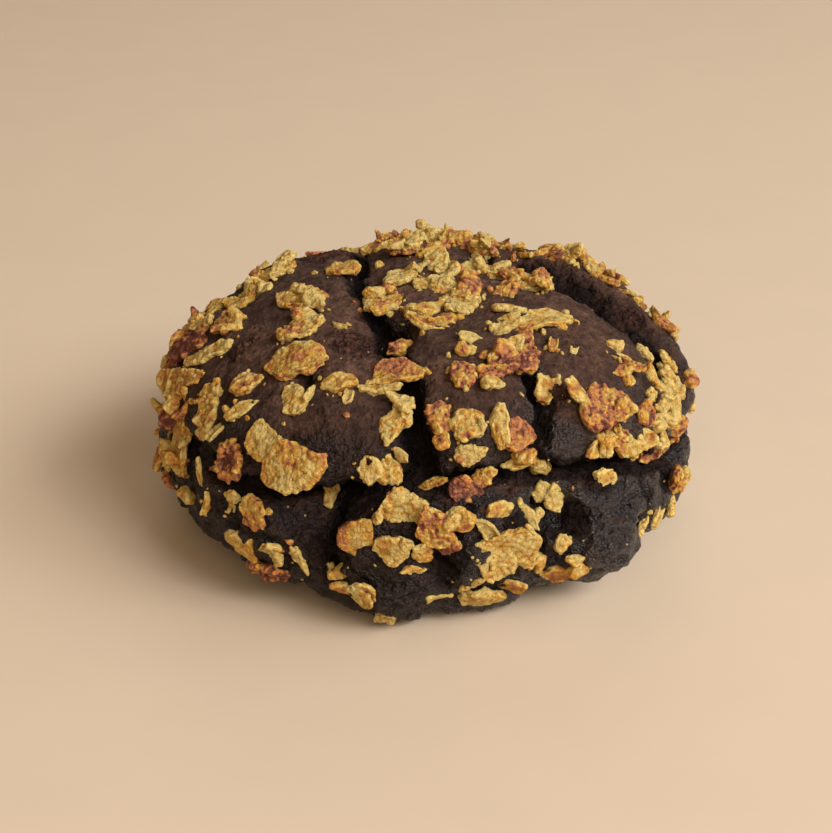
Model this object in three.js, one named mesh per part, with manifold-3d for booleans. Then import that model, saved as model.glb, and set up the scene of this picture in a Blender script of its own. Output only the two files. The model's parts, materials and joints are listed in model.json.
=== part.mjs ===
// Cornflake cookie: one thick ball of chocolate dough that cracked on top and split round its waist
// in the oven, coated with crushed toasted corn flakes. Millimetres, +Z up, front towards -Y.

import * as THREE from "three";
import Module from "manifold-3d";

// Driving dimensions of the dough.
const COOKIE_RADIUS = 43.5; // plain dough at its widest
const CAP_HEIGHT = 24; // top of the dough above the widest level
const WIDEST_LEVEL = 17; // widest level above the table
const FOOT_DEPTH = 21.5; // where the lower curve would close if the table didn't cut it
const CAP_FULLNESS = 2.5; // exponent of the upper curve: 2 is an ellipse, more is boxier
const FOOT_FULLNESS = 2.3;
const RELIEF_HEIGHT = 0.6; // unevenness of the dough's skin
const RELIEF_SPAN = 6; // distance from one unevenness to the next

// The dough's net: columns round the cookie, and rows below, at and above the split waist.
const COLUMNS = 72;
const BASE_RING = -58; // elevation of the one ring inside the flat base
const ROWS_BELOW = 6;
const WAIST_ROWS = [-3.6, -1.4, 0.6, 2.6]; // degrees from the middle of the split
const ROWS_ABOVE = 17;

// Driving dimensions of the flakes.
const FLAKE_THICKNESS = 1.1;
const RIM_POINTS = 14; // corners of a flake's outline
const GAP = 0.3; // between a flake and what it lies on
const TABLE_GAP = 0.3; // lowest a flake may hang above the table
const LIFT_STEP = 0.2; // how far a flake is raised at a time until it lies free

const COLOURS = {
  dough: 0x4d3a2e,
  pale: 0xd6b878,
  golden: 0xc99a52,
  toasted: 0xa8683a,
};

// A place on the cookie is a bearing, in degrees round it from the front towards +X, and an
// elevation, in degrees above the widest level as seen from the middle of that level.

// Swellings and dents of the dough: [bearing, elevation, spread, height] in degrees and millimetres.
const SWELLINGS = [
  [-32, 24, 12, 1.4], // big block at the front left
  [-80, 42, 12, 1.2], // block behind it
  [-160, 62, 11, 1.4], // block at the back of the top
  [12, 34, 8, 1.2], // front block between the two front cracks
  [48, 34, 10, 1.6], // right block
  [118, 24, 8, 1.6],
  [130, 30, 10, 1.2],
  [-130, 25, 11, 1.0],
  [170, 20, 11, 1.4],
  [-20, 52, 4, -4.0], // pit where the top cracks meet
  [-92, 33, 3, -2.0],
  [-40, -3, 10, 0.9], // lumps of the lower half
  [-19, 2, 4, -3.2], // hollow under the lip
  [-10, -6, 8, 1.4],
  [8, -5, 6, 1.2],
  [24, 4, 5, -2.0],
  [40, -4, 7, 2.4], // smooth lump at the lower right
  [55, -1, 6, 1.2],
  [30, -1, 2.4, -4.0], // hole beside it
  [49, -6, 2.2, -2.6],
  [75, -8, 8, 0.8],
  [120, -6, 9, 1.2],
  [165, -5, 10, 1.0],
  [-150, -4, 9, 1.2],
  [-105, -6, 10, 1.0],
  [-2, -22, 13, 2.6], // fullness at the front of the foot
  [42, -14, 8, 1.4],
  [-60, -8, 12, -1.0], // flatter at the left of the foot
  [-32, -20, 7, -1.4],
  [150, 45, 14, 1.3], // fullness at the back of the top
];

// Cracks: each runs through [bearing, elevation] points, with its half-width and depth in millimetres.
const CRACKS = [
  { width: 1.7, depth: 4.5, through: [[-155, 37], [-125, 60], [-78, 65], [-49, 63], [-22, 54]] },
  { width: 2.4, depth: 6.5, through: [[-20, 53], [-12, 45], [-7, 36], [-4, 28], [-3, 20], [1, 12]] },
  { width: 1.7, depth: 4.5, through: [[33, 31], [30, 25], [27, 19], [24, 12]] },
  { width: 1.9, depth: 11, through: [[128, 53], [114, 46], [103, 40], [94, 34], [87, 28], [82, 21], [77, 12]] },
  { width: 2.4, depth: 4.5, through: [[124, 62], [112, 56], [106, 47]] },
  { width: 1.2, depth: 2.5, through: [[-36, 34], [-32, 29], [-30, 23]] },
  { width: 1.6, depth: 3.5, through: [[-17, 9], [-19, 0], [-18, -10]] },
  { width: 1.5, depth: 3, through: [[26, 10], [25, 2], [24, -8]] },
  { width: 1.3, depth: 2.5, through: [[9, 6], [4, -2], [3, -10]] },
  { width: 1.2, depth: 2.5, through: [[48, 6], [50, -2], [49, -10]] },
  { width: 1.8, depth: 4, through: [[-155, 37], [-165, 25], [-160, 12]] },
  { width: 1.8, depth: 4, through: [[124, 62], [150, 48], [152, 30], [146, 14]] },
  { width: 1.6, depth: 3.5, through: [[-95, 35], [-112, 30], [-118, 18], [-112, 8]] },
  { width: 1.5, depth: 3, through: [[95, 8], [100, -2], [98, -12]] },
  { width: 1.5, depth: 3, through: [[178, 8], [172, -2], [175, -12]] },
  { width: 1.5, depth: 3, through: [[-128, 6], [-132, -3], [-128, -12]] },
];

// Ridges pushed up beside a crack, given as the cracks are, with their height.
const RIDGES = [
  { width: 2.6, height: 2.8, through: [[122, 44], [110, 38], [101, 32], [94, 25], [88, 17], [83, 8]] },
];

// The split round the waist: [bearing, elevation, depth], its depth in millimetres.
const WAIST_HALF_WIDTH = 2.1;
const LEDGE = 0.35; // the upper half overhangs by this share of the split's depth
const LEDGE_HEIGHT = 6; // how far down the overhang is felt
const WAIST = [
  [-180, 7, 5],
  [-140, 5, 4.5],
  [-105, 5, 3.5],
  [-75, 6, 2.5],
  [-54, 7, 2.5],
  [-40, 5, 3.5],
  [-25, 7, 5.5],
  [-9, 10, 7],
  [5, 12, 6.5],
  [24, 12, 6],
  [38, 10, 7],
  [51, 6, 5.5],
  [73, 1, 4.5],
  [105, 2, 5],
  [140, 5, 5],
  [180, 7, 5],
];

// Large flakes: where each lies, its length and width, the turn of its long axis from level, its form
// and tone, and how far its ends (bend) and its sides (cup) rise above its middle.
const FLAKES = {
  top: [
    { at: [-38.5, 31.5], size: [9.6, 8.2], turn: 35, form: "round", tone: "golden", bend: -0.4, cup: 0.5 },
    { at: [-49, 40], size: [6.6, 5], turn: 40, form: "ragged", tone: "pale", cup: 0.6 },
    { at: [-70.5, 47.5], size: [9.5, 7], turn: 50, form: "leaf", tone: "pale", bend: 0.4 },
    { at: [-115, 57.5], size: [6, 5.5], turn: 100, form: "round", tone: "golden", cup: 0.4 },
    { at: [-38.5, 66.5], size: [7.4, 4.6], turn: 60, form: "ragged", tone: "pale", bend: 0.3 },
    { at: [-81, 81], size: [8, 4.4], turn: 128, form: "leaf", tone: "pale", cup: 0.3 },
    { at: [36, 66], size: [7, 8], turn: -54, form: "ragged", tone: "pale", bend: 0.6 },
    { at: [-6.5, 35], size: [9, 4.8], turn: 14, form: "wedge", tone: "toasted", cup: 0.8 },
    { at: [28, 34], size: [9.6, 6.5], turn: -18, form: "ragged", tone: "toasted", thick: 2.2 },
    { at: [52, 42], size: [13.5, 4.6], turn: -21, form: "leaf", tone: "pale", bend: -0.5, cup: 0.7 },
    { at: [101, 51], size: [11, 6], turn: -48, form: "ragged", tone: "golden", bend: 0.5 },
    { at: [116, 58.5], size: [7, 4.8], turn: 139, form: "round", tone: "pale", cup: 0.6 },
  ],
  rim: [
    { at: [-159.5, 67], size: [5.6, 5], turn: 10, form: "round", tone: "toasted", thick: 2, cup: 0.5 },
    { at: [176, 48], size: [8.5, 5], turn: -25, form: "ragged", tone: "pale", bend: 0.8 },
    { at: [147, 52.5], size: [6.4, 5], turn: -10, form: "ragged", tone: "toasted", thick: 2 },
    { at: [128.5, 32], size: [8, 6.4], turn: 30, form: "round", tone: "golden", thick: 1.8, cup: 0.6 },
    { at: [110, 31], size: [8.5, 4.6], turn: 20, form: "leaf", tone: "golden", bend: 1.0 },
    { at: [95.5, 19.5], size: [11, 4.6], turn: 24, form: "leaf", tone: "pale", cup: 0.5 },
    { at: [-95.5, 32.5], size: [5.8, 4.2], turn: 85, form: "ragged", tone: "golden", bend: 0.8 },
    { at: [-75, 30], size: [6.4, 5], turn: 45, form: "ragged", tone: "golden", cup: 0.8 },
    { at: [-113, 38.5], size: [9.5, 4.5], turn: 160, form: "ragged", tone: "golden", bend: 0.4 },
  ],
  left: [
    { at: [-69.5, 24], size: [9.4, 3.2], turn: 60, form: "strip", tone: "pale", bend: 0.3 },
    { at: [-82.5, 20.5], size: [9.5, 7], turn: 60, form: "ragged", tone: "toasted", thick: 2.4 },
    { at: [-55, 15.5], size: [11, 4.4], turn: -70, form: "strip", tone: "golden", cup: 0.9 },
    { at: [-72, 15], size: [7.5, 6], turn: 20, form: "ragged", tone: "golden", thick: 1.8 },
    { at: [-65, 4], size: [11.5, 5], turn: -85, form: "strip", tone: "golden", cup: 0.7 },
    { at: [-42.5, 9.5], size: [6.6, 5.6], turn: -75, form: "round", tone: "toasted", bend: 1.0, cup: 1.6 },
    { at: [-34, 15], size: [6.8, 5.2], turn: 0, form: "wedge", tone: "pale", bend: 0.4 },
    { at: [-26.5, 12], size: [10.4, 8], turn: 10, form: "round", tone: "golden", bend: -0.3, cup: 0.5 },
    { at: [-32.5, 24], size: [6.5, 3.8], turn: -60, form: "strip", tone: "pale" },
  ],
  front: [
    { at: [-23, 29.5], size: [6.6, 3.6], turn: 25, form: "leaf", tone: "golden", cup: 0.4 },
    { at: [-6.5, 24], size: [9.5, 3.4], turn: 65, form: "strip", tone: "pale", bend: 0.5 },
    { at: [3.5, 24], size: [6, 4.2], turn: -93, form: "ragged", tone: "toasted", thick: 1.6 },
    { at: [10, 22], size: [5.8, 5.2], turn: 8, form: "round", tone: "golden", cup: 0.6 },
    { at: [11, 32.5], size: [5.6, 4.4], turn: -100, form: "round", tone: "toasted", thick: 2 },
    { at: [21, 19], size: [6, 5], turn: -20, form: "wedge", tone: "toasted", cup: 0.8 },
    { at: [-3.5, 7], size: [7, 5], turn: 2, form: "ragged", tone: "pale", bend: 0.5 },
    { at: [9, 9.5], size: [5.8, 4.2], turn: -12, form: "wedge", tone: "toasted", cup: 0.6 },
  ],
  right: [
    { at: [45, 19.5], size: [11, 8.6], turn: -15, form: "ragged", tone: "toasted", thick: 2.4 },
    { at: [77.5, 14], size: [9.5, 3.2], turn: 30, form: "strip", tone: "pale", cup: 0.5 },
    { at: [45.5, 13], size: [6.2, 3.6], turn: -65, form: "ragged", tone: "golden", cup: 1.4 },
    { at: [66, -3.5], size: [8, 4.8], turn: -20, form: "wedge", tone: "toasted", bend: 1.6 },
  ],
  low: [
    { at: [-34.5, 2], size: [5.8, 4.8], turn: -86, form: "strip", tone: "golden", cup: 0.4 },
    { at: [-34, -11.5], size: [10.5, 4.4], turn: 3, form: "leaf", tone: "toasted", cup: 1.4 },
    { at: [-12.5, 1.5], size: [7.2, 5.2], turn: 50, form: "wedge", tone: "golden", bend: 0.3 },
    { at: [-6, -0.5], size: [6.4, 5], turn: 3, form: "ragged", tone: "pale", cup: 0.6 },
    { at: [2, 3], size: [8.6, 5.8], turn: -50, form: "ragged", tone: "toasted", thick: 2, cup: 0.5 },
    { at: [16, -2.5], size: [10.6, 8.2], turn: -15, form: "ragged", tone: "pale", bend: 0.8, cup: 0.8 },
    { at: [13.5, -14.5], size: [7, 5], turn: -6, form: "ragged", tone: "pale" },
  ],
  back: [
    { at: [-165, 22], size: [10.5, 7.5], turn: 30, form: "round", tone: "golden", cup: 0.6 },
    { at: [-148, 8], size: [8, 5], turn: -60, form: "ragged", tone: "toasted", thick: 2 },
    { at: [-170, -4], size: [9, 6], turn: 10, form: "wedge", tone: "pale", bend: 0.6 },
    { at: [-128, -6], size: [8, 5], turn: 70, form: "ragged", tone: "golden", cup: 0.8 },
    { at: [-112, 12], size: [8.5, 5], turn: -30, form: "leaf", tone: "pale", bend: 0.5 },
    { at: [175, 8], size: [7, 4.6], turn: -80, form: "strip", tone: "toasted", cup: 0.5 },
    { at: [152, 20], size: [9.5, 5], turn: 40, form: "ragged", tone: "golden", bend: 0.5 },
    { at: [140, -3], size: [10, 7], turn: -15, form: "round", tone: "pale", cup: 0.7 },
    { at: [112, 9], size: [8, 5], turn: 65, form: "ragged", tone: "golden", thick: 1.6 },
    { at: [104, -8], size: [8, 4.6], turn: -10, form: "wedge", tone: "pale", bend: 0.5 },
  ],
};

const MIDDLE = new THREE.Vector3(0, 0, WIDEST_LEVEL);
const UP = new THREE.Vector3(0, 0, 1);

const radians = THREE.MathUtils.degToRad;

function directionTo(bearing, elevation) {
  const b = radians(bearing);
  const e = radians(elevation);
  return new THREE.Vector3(Math.sin(b) * Math.cos(e), -Math.cos(b) * Math.cos(e), Math.sin(e));
}

// A number from 0 to 1 that depends only on three whole numbers.
function scramble(i, j, k) {
  let h = Math.imul(i, 374761393) + Math.imul(j, 668265263) + Math.imul(k, 1274126177);
  h = Math.imul(h ^ (h >>> 13), 1103515245);
  return ((h ^ (h >>> 16)) >>> 0) / 4294967295;
}

// Smooth unevenness from -1 to 1, with one bump to each unit of length.
function unevenness(point) {
  const corner = point.clone().floor();
  const within = point.clone().sub(corner);
  const ease = (t) => t * t * (3 - 2 * t);
  let sum = 0;
  for (const [dx, dy, dz] of CUBE_CORNERS) {
    const weight =
      (dx ? ease(within.x) : 1 - ease(within.x)) *
      (dy ? ease(within.y) : 1 - ease(within.y)) *
      (dz ? ease(within.z) : 1 - ease(within.z));
    sum += weight * scramble(corner.x + dx, corner.y + dy, corner.z + dz);
  }
  return 2 * sum - 1;
}
const CUBE_CORNERS = [0, 1, 2, 3, 4, 5, 6, 7].map((n) => [n & 1, (n >> 1) & 1, (n >> 2) & 1]);

// The plain dough: a full cap over the widest level, and a foot that the table cuts flat.
function plainRadius(direction) {
  const out = Math.hypot(direction.x, direction.y);
  const above = direction.z >= 0;
  const fullness = above ? CAP_FULLNESS : FOOT_FULLNESS;
  const depth = above ? CAP_HEIGHT : FOOT_DEPTH;
  return ((out / COOKIE_RADIUS) ** fullness + (Math.abs(direction.z) / depth) ** fullness) ** (-1 / fullness);
}

// Distance from a point to the line between two others, and how far along the line it is.
function toSegment(point, start, end) {
  const line = end.clone().sub(start);
  const along = THREE.MathUtils.clamp(point.clone().sub(start).dot(line) / line.lengthSq(), 0, 1);
  return { distance: point.distanceTo(start.clone().addScaledVector(line, along)), along };
}

const onPlainDough = (direction) => direction.clone().multiplyScalar(plainRadius(direction));

const swellings = SWELLINGS.map(([bearing, elevation, spread, height]) => ({
  centre: onPlainDough(directionTo(bearing, elevation)),
  spread,
  height,
}));

const pathOf = (through) => through.map(([bearing, elevation]) => onPlainDough(directionTo(bearing, elevation)));
const cracks = CRACKS.map(({ width, depth, through }) => ({ width, depth, points: pathOf(through) }));
const ridges = RIDGES.map(({ width, height, through }) => ({ width, height, points: pathOf(through) }));

const waist = WAIST.map(([bearing, elevation, depth]) => ({
  point: onPlainDough(directionTo(bearing, elevation)),
  depth,
}));

// Depth of a groove at a distance from its middle: steep walls with rounded shoulders.
function groove(distance, halfWidth, depth) {
  const wall = Math.exp(-((distance / halfWidth) ** 4));
  const shoulder = Math.exp(-((distance / (2.6 * halfWidth)) ** 2));
  return depth * (0.75 * wall + 0.25 * shoulder);
}

// Distance of a point from a line of straight stretches.
function toPath(point, points) {
  let nearest = Infinity;
  for (let i = 0; i + 1 < points.length; i++) {
    nearest = Math.min(nearest, toSegment(point, points[i], points[i + 1]).distance);
  }
  return nearest;
}

const crackDepth = (point) =>
  Math.max(0, ...cracks.map(({ width, depth, points }) => groove(toPath(point, points), width, depth)));

const ridgeHeight = (point) =>
  Math.max(0, ...ridges.map(({ width, height, points }) => height * Math.exp(-((toPath(point, points) / width) ** 2))));

function waistDepth(point) {
  let nearest = Infinity;
  let depthThere = 0;
  let levelThere = 0;
  for (let i = 0; i + 1 < waist.length; i++) {
    const { distance, along } = toSegment(point, waist[i].point, waist[i + 1].point);
    if (distance < nearest) {
      nearest = distance;
      depthThere = THREE.MathUtils.lerp(waist[i].depth, waist[i + 1].depth, along);
      levelThere = THREE.MathUtils.lerp(waist[i].point.z, waist[i + 1].point.z, along);
    }
  }
  const below = point.z < levelThere;
  const ledge = below ? LEDGE * depthThere * Math.exp(-((nearest / LEDGE_HEIGHT) ** 2)) : 0;
  return Math.max(groove(nearest, WAIST_HALF_WIDTH, depthThere), ledge);
}

// Distance from the middle to the skin of the real dough.
function doughRadius(direction) {
  const point = onPlainDough(direction);
  let radius = point.length();
  for (const { centre, spread, height } of swellings) {
    radius += height * Math.exp(-(point.distanceToSquared(centre) / spread ** 2));
  }
  radius += ridgeHeight(point);
  radius -= Math.max(crackDepth(point), waistDepth(point));
  radius += RELIEF_HEIGHT * unevenness(point.divideScalar(RELIEF_SPAN));
  return radius;
}

// Elevation of the split at a bearing.
function waistElevation(bearing) {
  const after = WAIST.findIndex(([b]) => b >= bearing);
  if (after < 1) return WAIST[0][1];
  const [b0, e0] = WAIST[after - 1];
  const [b1, e1] = WAIST[after];
  return THREE.MathUtils.lerp(e0, e1, (bearing - b0) / (b1 - b0));
}

// Elevation at which the skin comes down to the table at a bearing.
function footElevation(bearing) {
  let above = -10;
  let below = -50;
  for (let i = 0; i < 24; i++) {
    const tried = (above + below) / 2;
    const direction = directionTo(bearing, tried);
    if (-direction.z * doughRadius(direction) < WIDEST_LEVEL) above = tried;
    else below = tried;
  }
  return (above + below) / 2;
}

// The rows' elevations at a bearing, from the table up.
function rowElevations(bearing) {
  const foot = footElevation(bearing);
  const waistThere = waistElevation(bearing);
  const rows = [BASE_RING, foot];
  const lastBelow = waistThere + WAIST_ROWS[0];
  for (let i = 1; i <= ROWS_BELOW; i++) {
    rows.push(THREE.MathUtils.lerp(foot, lastBelow, i / (ROWS_BELOW + 1)));
  }
  rows.push(...WAIST_ROWS.map((offset) => waistThere + offset));
  const lastWaist = rows[rows.length - 1];
  for (let i = 1; i <= ROWS_ABOVE; i++) {
    rows.push(THREE.MathUtils.lerp(lastWaist, 90, (i / (ROWS_ABOVE + 1)) ** 1.12));
  }
  return rows;
}

function doughGeometry() {
  const points = [0, 0, 0, 0, 0, WIDEST_LEVEL + doughRadius(UP)];
  const firstRing = 2;
  let rings = 0;
  const columns = [];
  for (let column = 0; column < COLUMNS; column++) {
    const bearing = (360 * column) / COLUMNS - 180;
    const rows = rowElevations(bearing);
    rings = rows.length;
    columns.push(
      rows.map((elevation, row) => {
        const direction = directionTo(bearing, elevation);
        const onTable = row < 2;
        const reach = onTable ? WIDEST_LEVEL / -direction.z : doughRadius(direction);
        const point = direction.multiplyScalar(reach).add(MIDDLE);
        if (onTable) point.z = 0;
        return point;
      }),
    );
  }
  columns.forEach((column) => column.forEach((point) => points.push(point.x, point.y, point.z)));
  const at = (column, row) => firstRing + (column % COLUMNS) * rings + row;
  const triangles = [];
  for (let column = 0; column < COLUMNS; column++) {
    triangles.push(0, at(column + 1, 0), at(column, 0));
    triangles.push(1, at(column, rings - 1), at(column + 1, rings - 1));
    for (let row = 0; row + 1 < rings; row++) {
      triangles.push(at(column, row), at(column + 1, row), at(column + 1, row + 1));
      triangles.push(at(column, row), at(column + 1, row + 1), at(column, row + 1));
    }
  }
  const geometry = new THREE.BufferGeometry();
  geometry.setAttribute("position", new THREE.Float32BufferAttribute(points, 3));
  geometry.setIndex(triangles);
  return geometry;
}

// Outline of a flake, as a point for each of its corners, before it is bent.
const FORMS = {
  round: { taper: 0, point: 0, corner: 2.2, rough: 0.09 },
  leaf: { taper: 0.1, point: 0.75, corner: 2, rough: 0.08 },
  wedge: { taper: 0.55, point: 0.1, corner: 2.4, rough: 0.14 },
  strip: { taper: 0.1, point: 0, corner: 3, rough: 0.18 },
  ragged: { taper: 0.2, point: 0.15, corner: 2.4, rough: 0.28 },
};

function outline({ size, form }, seed) {
  const { taper, point, corner, rough } = FORMS[form];
  const corners = [];
  for (let i = 0; i < RIM_POINTS; i++) {
    const angle = (2 * Math.PI * i) / RIM_POINTS;
    const c = Math.cos(angle);
    const s = Math.sin(angle);
    const full = (Math.abs(c) ** corner + Math.abs(s) ** corner) ** (-1 / corner);
    const uneven = full * (1 + rough * (2 * scramble(i, seed, 1) - 1));
    const narrowing = (1 - point * c * c * full * full) * (1 - taper * c);
    corners.push(new THREE.Vector2((c * uneven * size[0]) / 2, (s * uneven * narrowing * size[1]) / 2));
  }
  return corners;
}

// A thin closed wafer: a middle point, an inner ring and the rim, above and below.
function flakeGeometry(flake, seed) {
  const { size, bend = 0, cup = 0, thick = FLAKE_THICKNESS } = flake;
  const rim = outline(flake, seed);
  const inner = rim.filter((_, i) => i % 2 === 0).map((corner) => corner.clone().multiplyScalar(0.55));
  const flat = [new THREE.Vector2(0, 0), ...inner, ...rim];
  const firstInner = 1;
  const firstRim = firstInner + inner.length;
  const layer = flat.length;
  const points = [];
  for (const side of [1, -1]) {
    flat.forEach((place, i) => {
      const bending = bend * (place.x / (size[0] / 2)) ** 2 + cup * (place.y / (size[1] / 2)) ** 2;
      const hug = place.lengthSq() / (2 * COOKIE_RADIUS);
      const wave = 0.35 * (2 * scramble(i, seed, 2) - 1);
      const half = (i >= firstRim ? 0.35 : 0.5) * thick;
      points.push(place.x, place.y, bending - hug + wave + side * half);
    });
  }
  const triangles = [];
  const bothSides = (a, b, c) => triangles.push(a, b, c, layer + a, layer + c, layer + b);
  for (let i = 0; i < inner.length; i++) {
    const here = firstInner + i;
    const next = firstInner + ((i + 1) % inner.length);
    const outer = firstRim + 2 * i;
    const outerNext = firstRim + ((2 * i + 2) % rim.length);
    bothSides(0, here, next);
    bothSides(here, outer, outer + 1);
    bothSides(here, outer + 1, next);
    bothSides(next, outer + 1, outerNext);
  }
  for (let i = 0; i < rim.length; i++) {
    const here = firstRim + i;
    const next = firstRim + ((i + 1) % rim.length);
    triangles.push(here, layer + here, layer + next, here, layer + next, next);
  }
  const geometry = new THREE.BufferGeometry();
  geometry.setAttribute("position", new THREE.Float32BufferAttribute(points, 3));
  geometry.setIndex(triangles);
  return geometry;
}

// Where a flake's own axes point when it lies on the dough: along it, across it and away from the dough.
function layingFrame({ at, turn }) {
  const [bearing, elevation] = at;
  const point = onPlainDough(directionTo(bearing, elevation));
  const eastwards = onPlainDough(directionTo(bearing + 1, elevation)).sub(point).normalize();
  const upwards = onPlainDough(directionTo(bearing, elevation + 1)).sub(point);
  const outwards = new THREE.Vector3().crossVectors(eastwards, upwards).normalize();
  const along = eastwards.applyAxisAngle(outwards, radians(turn));
  const across = new THREE.Vector3().crossVectors(outwards, along);
  return { point, along, across, outwards };
}

const wasm = await Module();
wasm.setup();

// A mesh, where it stands, as a manifold-3d solid.
function solidOf(mesh) {
  mesh.updateMatrixWorld(true);
  const placed = mesh.geometry.clone().applyMatrix4(mesh.matrixWorld);
  return new wasm.Manifold(
    new wasm.Mesh({
      numProp: 3,
      vertProperties: new Float32Array(placed.getAttribute("position").array),
      triVerts: new Uint32Array(placed.index.array),
    }),
  );
}

// How far a flake's lowest corner is inside the dough, so that it starts just clear of it.
function depthInDough(mesh) {
  const position = mesh.geometry.getAttribute("position");
  const point = new THREE.Vector3();
  let depth = -Infinity;
  for (let i = 0; i < position.count; i++) {
    point.fromBufferAttribute(position, i).applyMatrix4(mesh.matrixWorld).sub(MIDDLE);
    const distance = point.length();
    depth = Math.max(depth, doughRadius(point.divideScalar(distance)) - distance);
  }
  return depth;
}

// Keeps a flake off the table: corners that would hang lower end just above it.
function trimAtTable(mesh) {
  const position = mesh.geometry.getAttribute("position");
  const inverse = mesh.matrixWorld.clone().invert();
  const point = new THREE.Vector3();
  const lowest = (i) => TABLE_GAP + (i < position.count / 2 ? FLAKE_THICKNESS / 2 : 0);
  for (let i = 0; i < position.count; i++) {
    point.fromBufferAttribute(position, i).applyMatrix4(mesh.matrixWorld);
    point.z = Math.max(point.z, lowest(i));
    point.applyMatrix4(inverse);
    position.setXYZ(i, point.x, point.y, point.z);
  }
}

// Lays a flake on the dough and raises it until it is clear of everything laid before it.
function lay(mesh, flake, laid) {
  const { point, along, across, outwards } = layingFrame(flake);
  const turned = new THREE.Matrix4().makeBasis(along, across, outwards);
  const raise = (height) => {
    mesh.position.copy(point).add(MIDDLE).addScaledVector(outwards, height);
    mesh.updateMatrixWorld(true);
  };
  mesh.quaternion.setFromRotationMatrix(turned);
  raise(0);
  let height = depthInDough(mesh) + GAP;
  raise(height);
  trimAtTable(mesh);
  while (laid.some((solid) => solid.intersect(solidOf(mesh)).volume() > 0)) {
    height += LIFT_STEP;
    raise(height);
  }
  raise(height + GAP);
}

const materials = Object.fromEntries(
  Object.entries(COLOURS).map(([name, color]) => [
    name,
    new THREE.MeshStandardMaterial({ color, roughness: 0.85, metalness: 0 }),
  ]),
);

const cookie = new THREE.Group();

const dough = new THREE.Mesh(doughGeometry(), materials.dough);
dough.name = "dough";
cookie.add(dough);

const laid = [solidOf(dough)];
let seed = 0;
for (const [region, flakes] of Object.entries(FLAKES)) {
  flakes.forEach((flake, i) => {
    seed += 1;
    const mesh = new THREE.Mesh(flakeGeometry(flake, seed), materials[flake.tone].clone());
    mesh.name = `flake_${region}_${i + 1}`;
    lay(mesh, flake, laid);
    laid.push(solidOf(mesh));
    cookie.add(mesh);
  });
}

// The cookie stands on the table with the middle of its outline over the origin, to the nearest
// tenth of a millimetre.
const extent = new THREE.Box3().setFromObject(cookie, true);
const toTenth = (length) => Math.round(length * 10) / 10;
const across = toTenth(-(extent.min.x + extent.max.x) / 2);
const along = toTenth(-(extent.min.y + extent.max.y) / 2);
cookie.position.set(across, along, 0);

export default cookie;
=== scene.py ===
"""Cornflake cookie: a thick ball of chocolate dough, cracked on top and split round its waist,
under a coat of crushed toasted corn flakes. Sizes inside the script are in millimetres."""

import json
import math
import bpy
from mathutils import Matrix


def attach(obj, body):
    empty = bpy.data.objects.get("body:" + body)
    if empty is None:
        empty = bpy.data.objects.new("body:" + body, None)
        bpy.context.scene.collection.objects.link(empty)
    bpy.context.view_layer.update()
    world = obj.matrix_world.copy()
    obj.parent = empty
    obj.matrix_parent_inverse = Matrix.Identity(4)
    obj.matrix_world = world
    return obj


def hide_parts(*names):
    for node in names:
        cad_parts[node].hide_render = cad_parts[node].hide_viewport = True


bl_info = {
    "name": "Cornflake cookie",
    "version": (1, 0, 0),
    "blender": (4, 5, 0),
    "location": "3D View > Sidebar > Cookie",
    "description": "Bakes a cracked chocolate cookie coated with crushed corn flakes",
    "category": "Add Mesh",
}

from itertools import combinations

import bpy
import numpy as np
from bpy.props import FloatProperty, FloatVectorProperty, IntProperty, PointerProperty
from mathutils import Vector
from mathutils.bvhtree import BVHTree
from mathutils.kdtree import KDTree

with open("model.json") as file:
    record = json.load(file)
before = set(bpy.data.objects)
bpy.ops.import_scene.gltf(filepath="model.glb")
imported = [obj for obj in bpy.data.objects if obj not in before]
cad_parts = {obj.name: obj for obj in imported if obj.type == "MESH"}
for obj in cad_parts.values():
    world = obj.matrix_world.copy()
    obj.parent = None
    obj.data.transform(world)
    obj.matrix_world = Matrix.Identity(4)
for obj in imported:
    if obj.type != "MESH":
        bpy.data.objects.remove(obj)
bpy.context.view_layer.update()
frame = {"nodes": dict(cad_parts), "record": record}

MM = 0.001
RECORD = frame["record"]
SLOT_OF = {part["node"]: part["material_slot"] for part in RECORD["subparts"]}
FLAKE_NODES = sorted(name for name in frame["nodes"] if name.startswith("flake_"))
LEAST_LIFT = 0.05  # the least height of a flake above the table

# ---- The dough's form, as the CAD part has it. A place on the cookie is a bearing, in degrees round
# it from the front towards +X, and an elevation, in degrees above the widest level.

COOKIE_RADIUS = 43.5
CAP_HEIGHT = 24.0
WIDEST_LEVEL = 17.0
FOOT_DEPTH = 21.5
CAP_FULLNESS = 2.5
FOOT_FULLNESS = 2.3
BASE_MOUNT = next(mount for mount in RECORD["mounts"] if mount["name"] == "base")
MIDDLE = np.array(BASE_MOUNT["pos_m"]) / MM + np.array([0, 0, WIDEST_LEVEL])

# Swellings and dents: bearing, elevation, spread and height.
SWELLINGS = [
    (-32, 24, 12, 1.4), (-80, 42, 12, 1.2), (-160, 62, 11, 1.4), (12, 34, 8, 1.2), (48, 34, 10, 1.6),
    (118, 24, 8, 1.6), (130, 30, 10, 1.2), (-130, 25, 11, 1.0), (170, 20, 11, 1.4), (-20, 52, 4, -4.0),
    (-92, 33, 3, -2.0), (-40, -3, 10, 0.9), (-19, 2, 4, -3.2), (-10, -6, 8, 1.4), (8, -5, 6, 1.2),
    (24, 4, 5, -2.0), (40, -4, 7, 2.4), (55, -1, 6, 1.2), (30, -1, 2.4, -4.0), (49, -6, 2.2, -2.6),
    (75, -8, 8, 0.8), (120, -6, 9, 1.2), (165, -5, 10, 1.0), (-150, -4, 9, 1.2), (-105, -6, 10, 1.0),
    (-2, -22, 13, 2.6), (42, -14, 8, 1.4), (-60, -8, 12, -1.0), (-32, -20, 7, -1.4), (150, 45, 14, 1.3),
]

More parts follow.
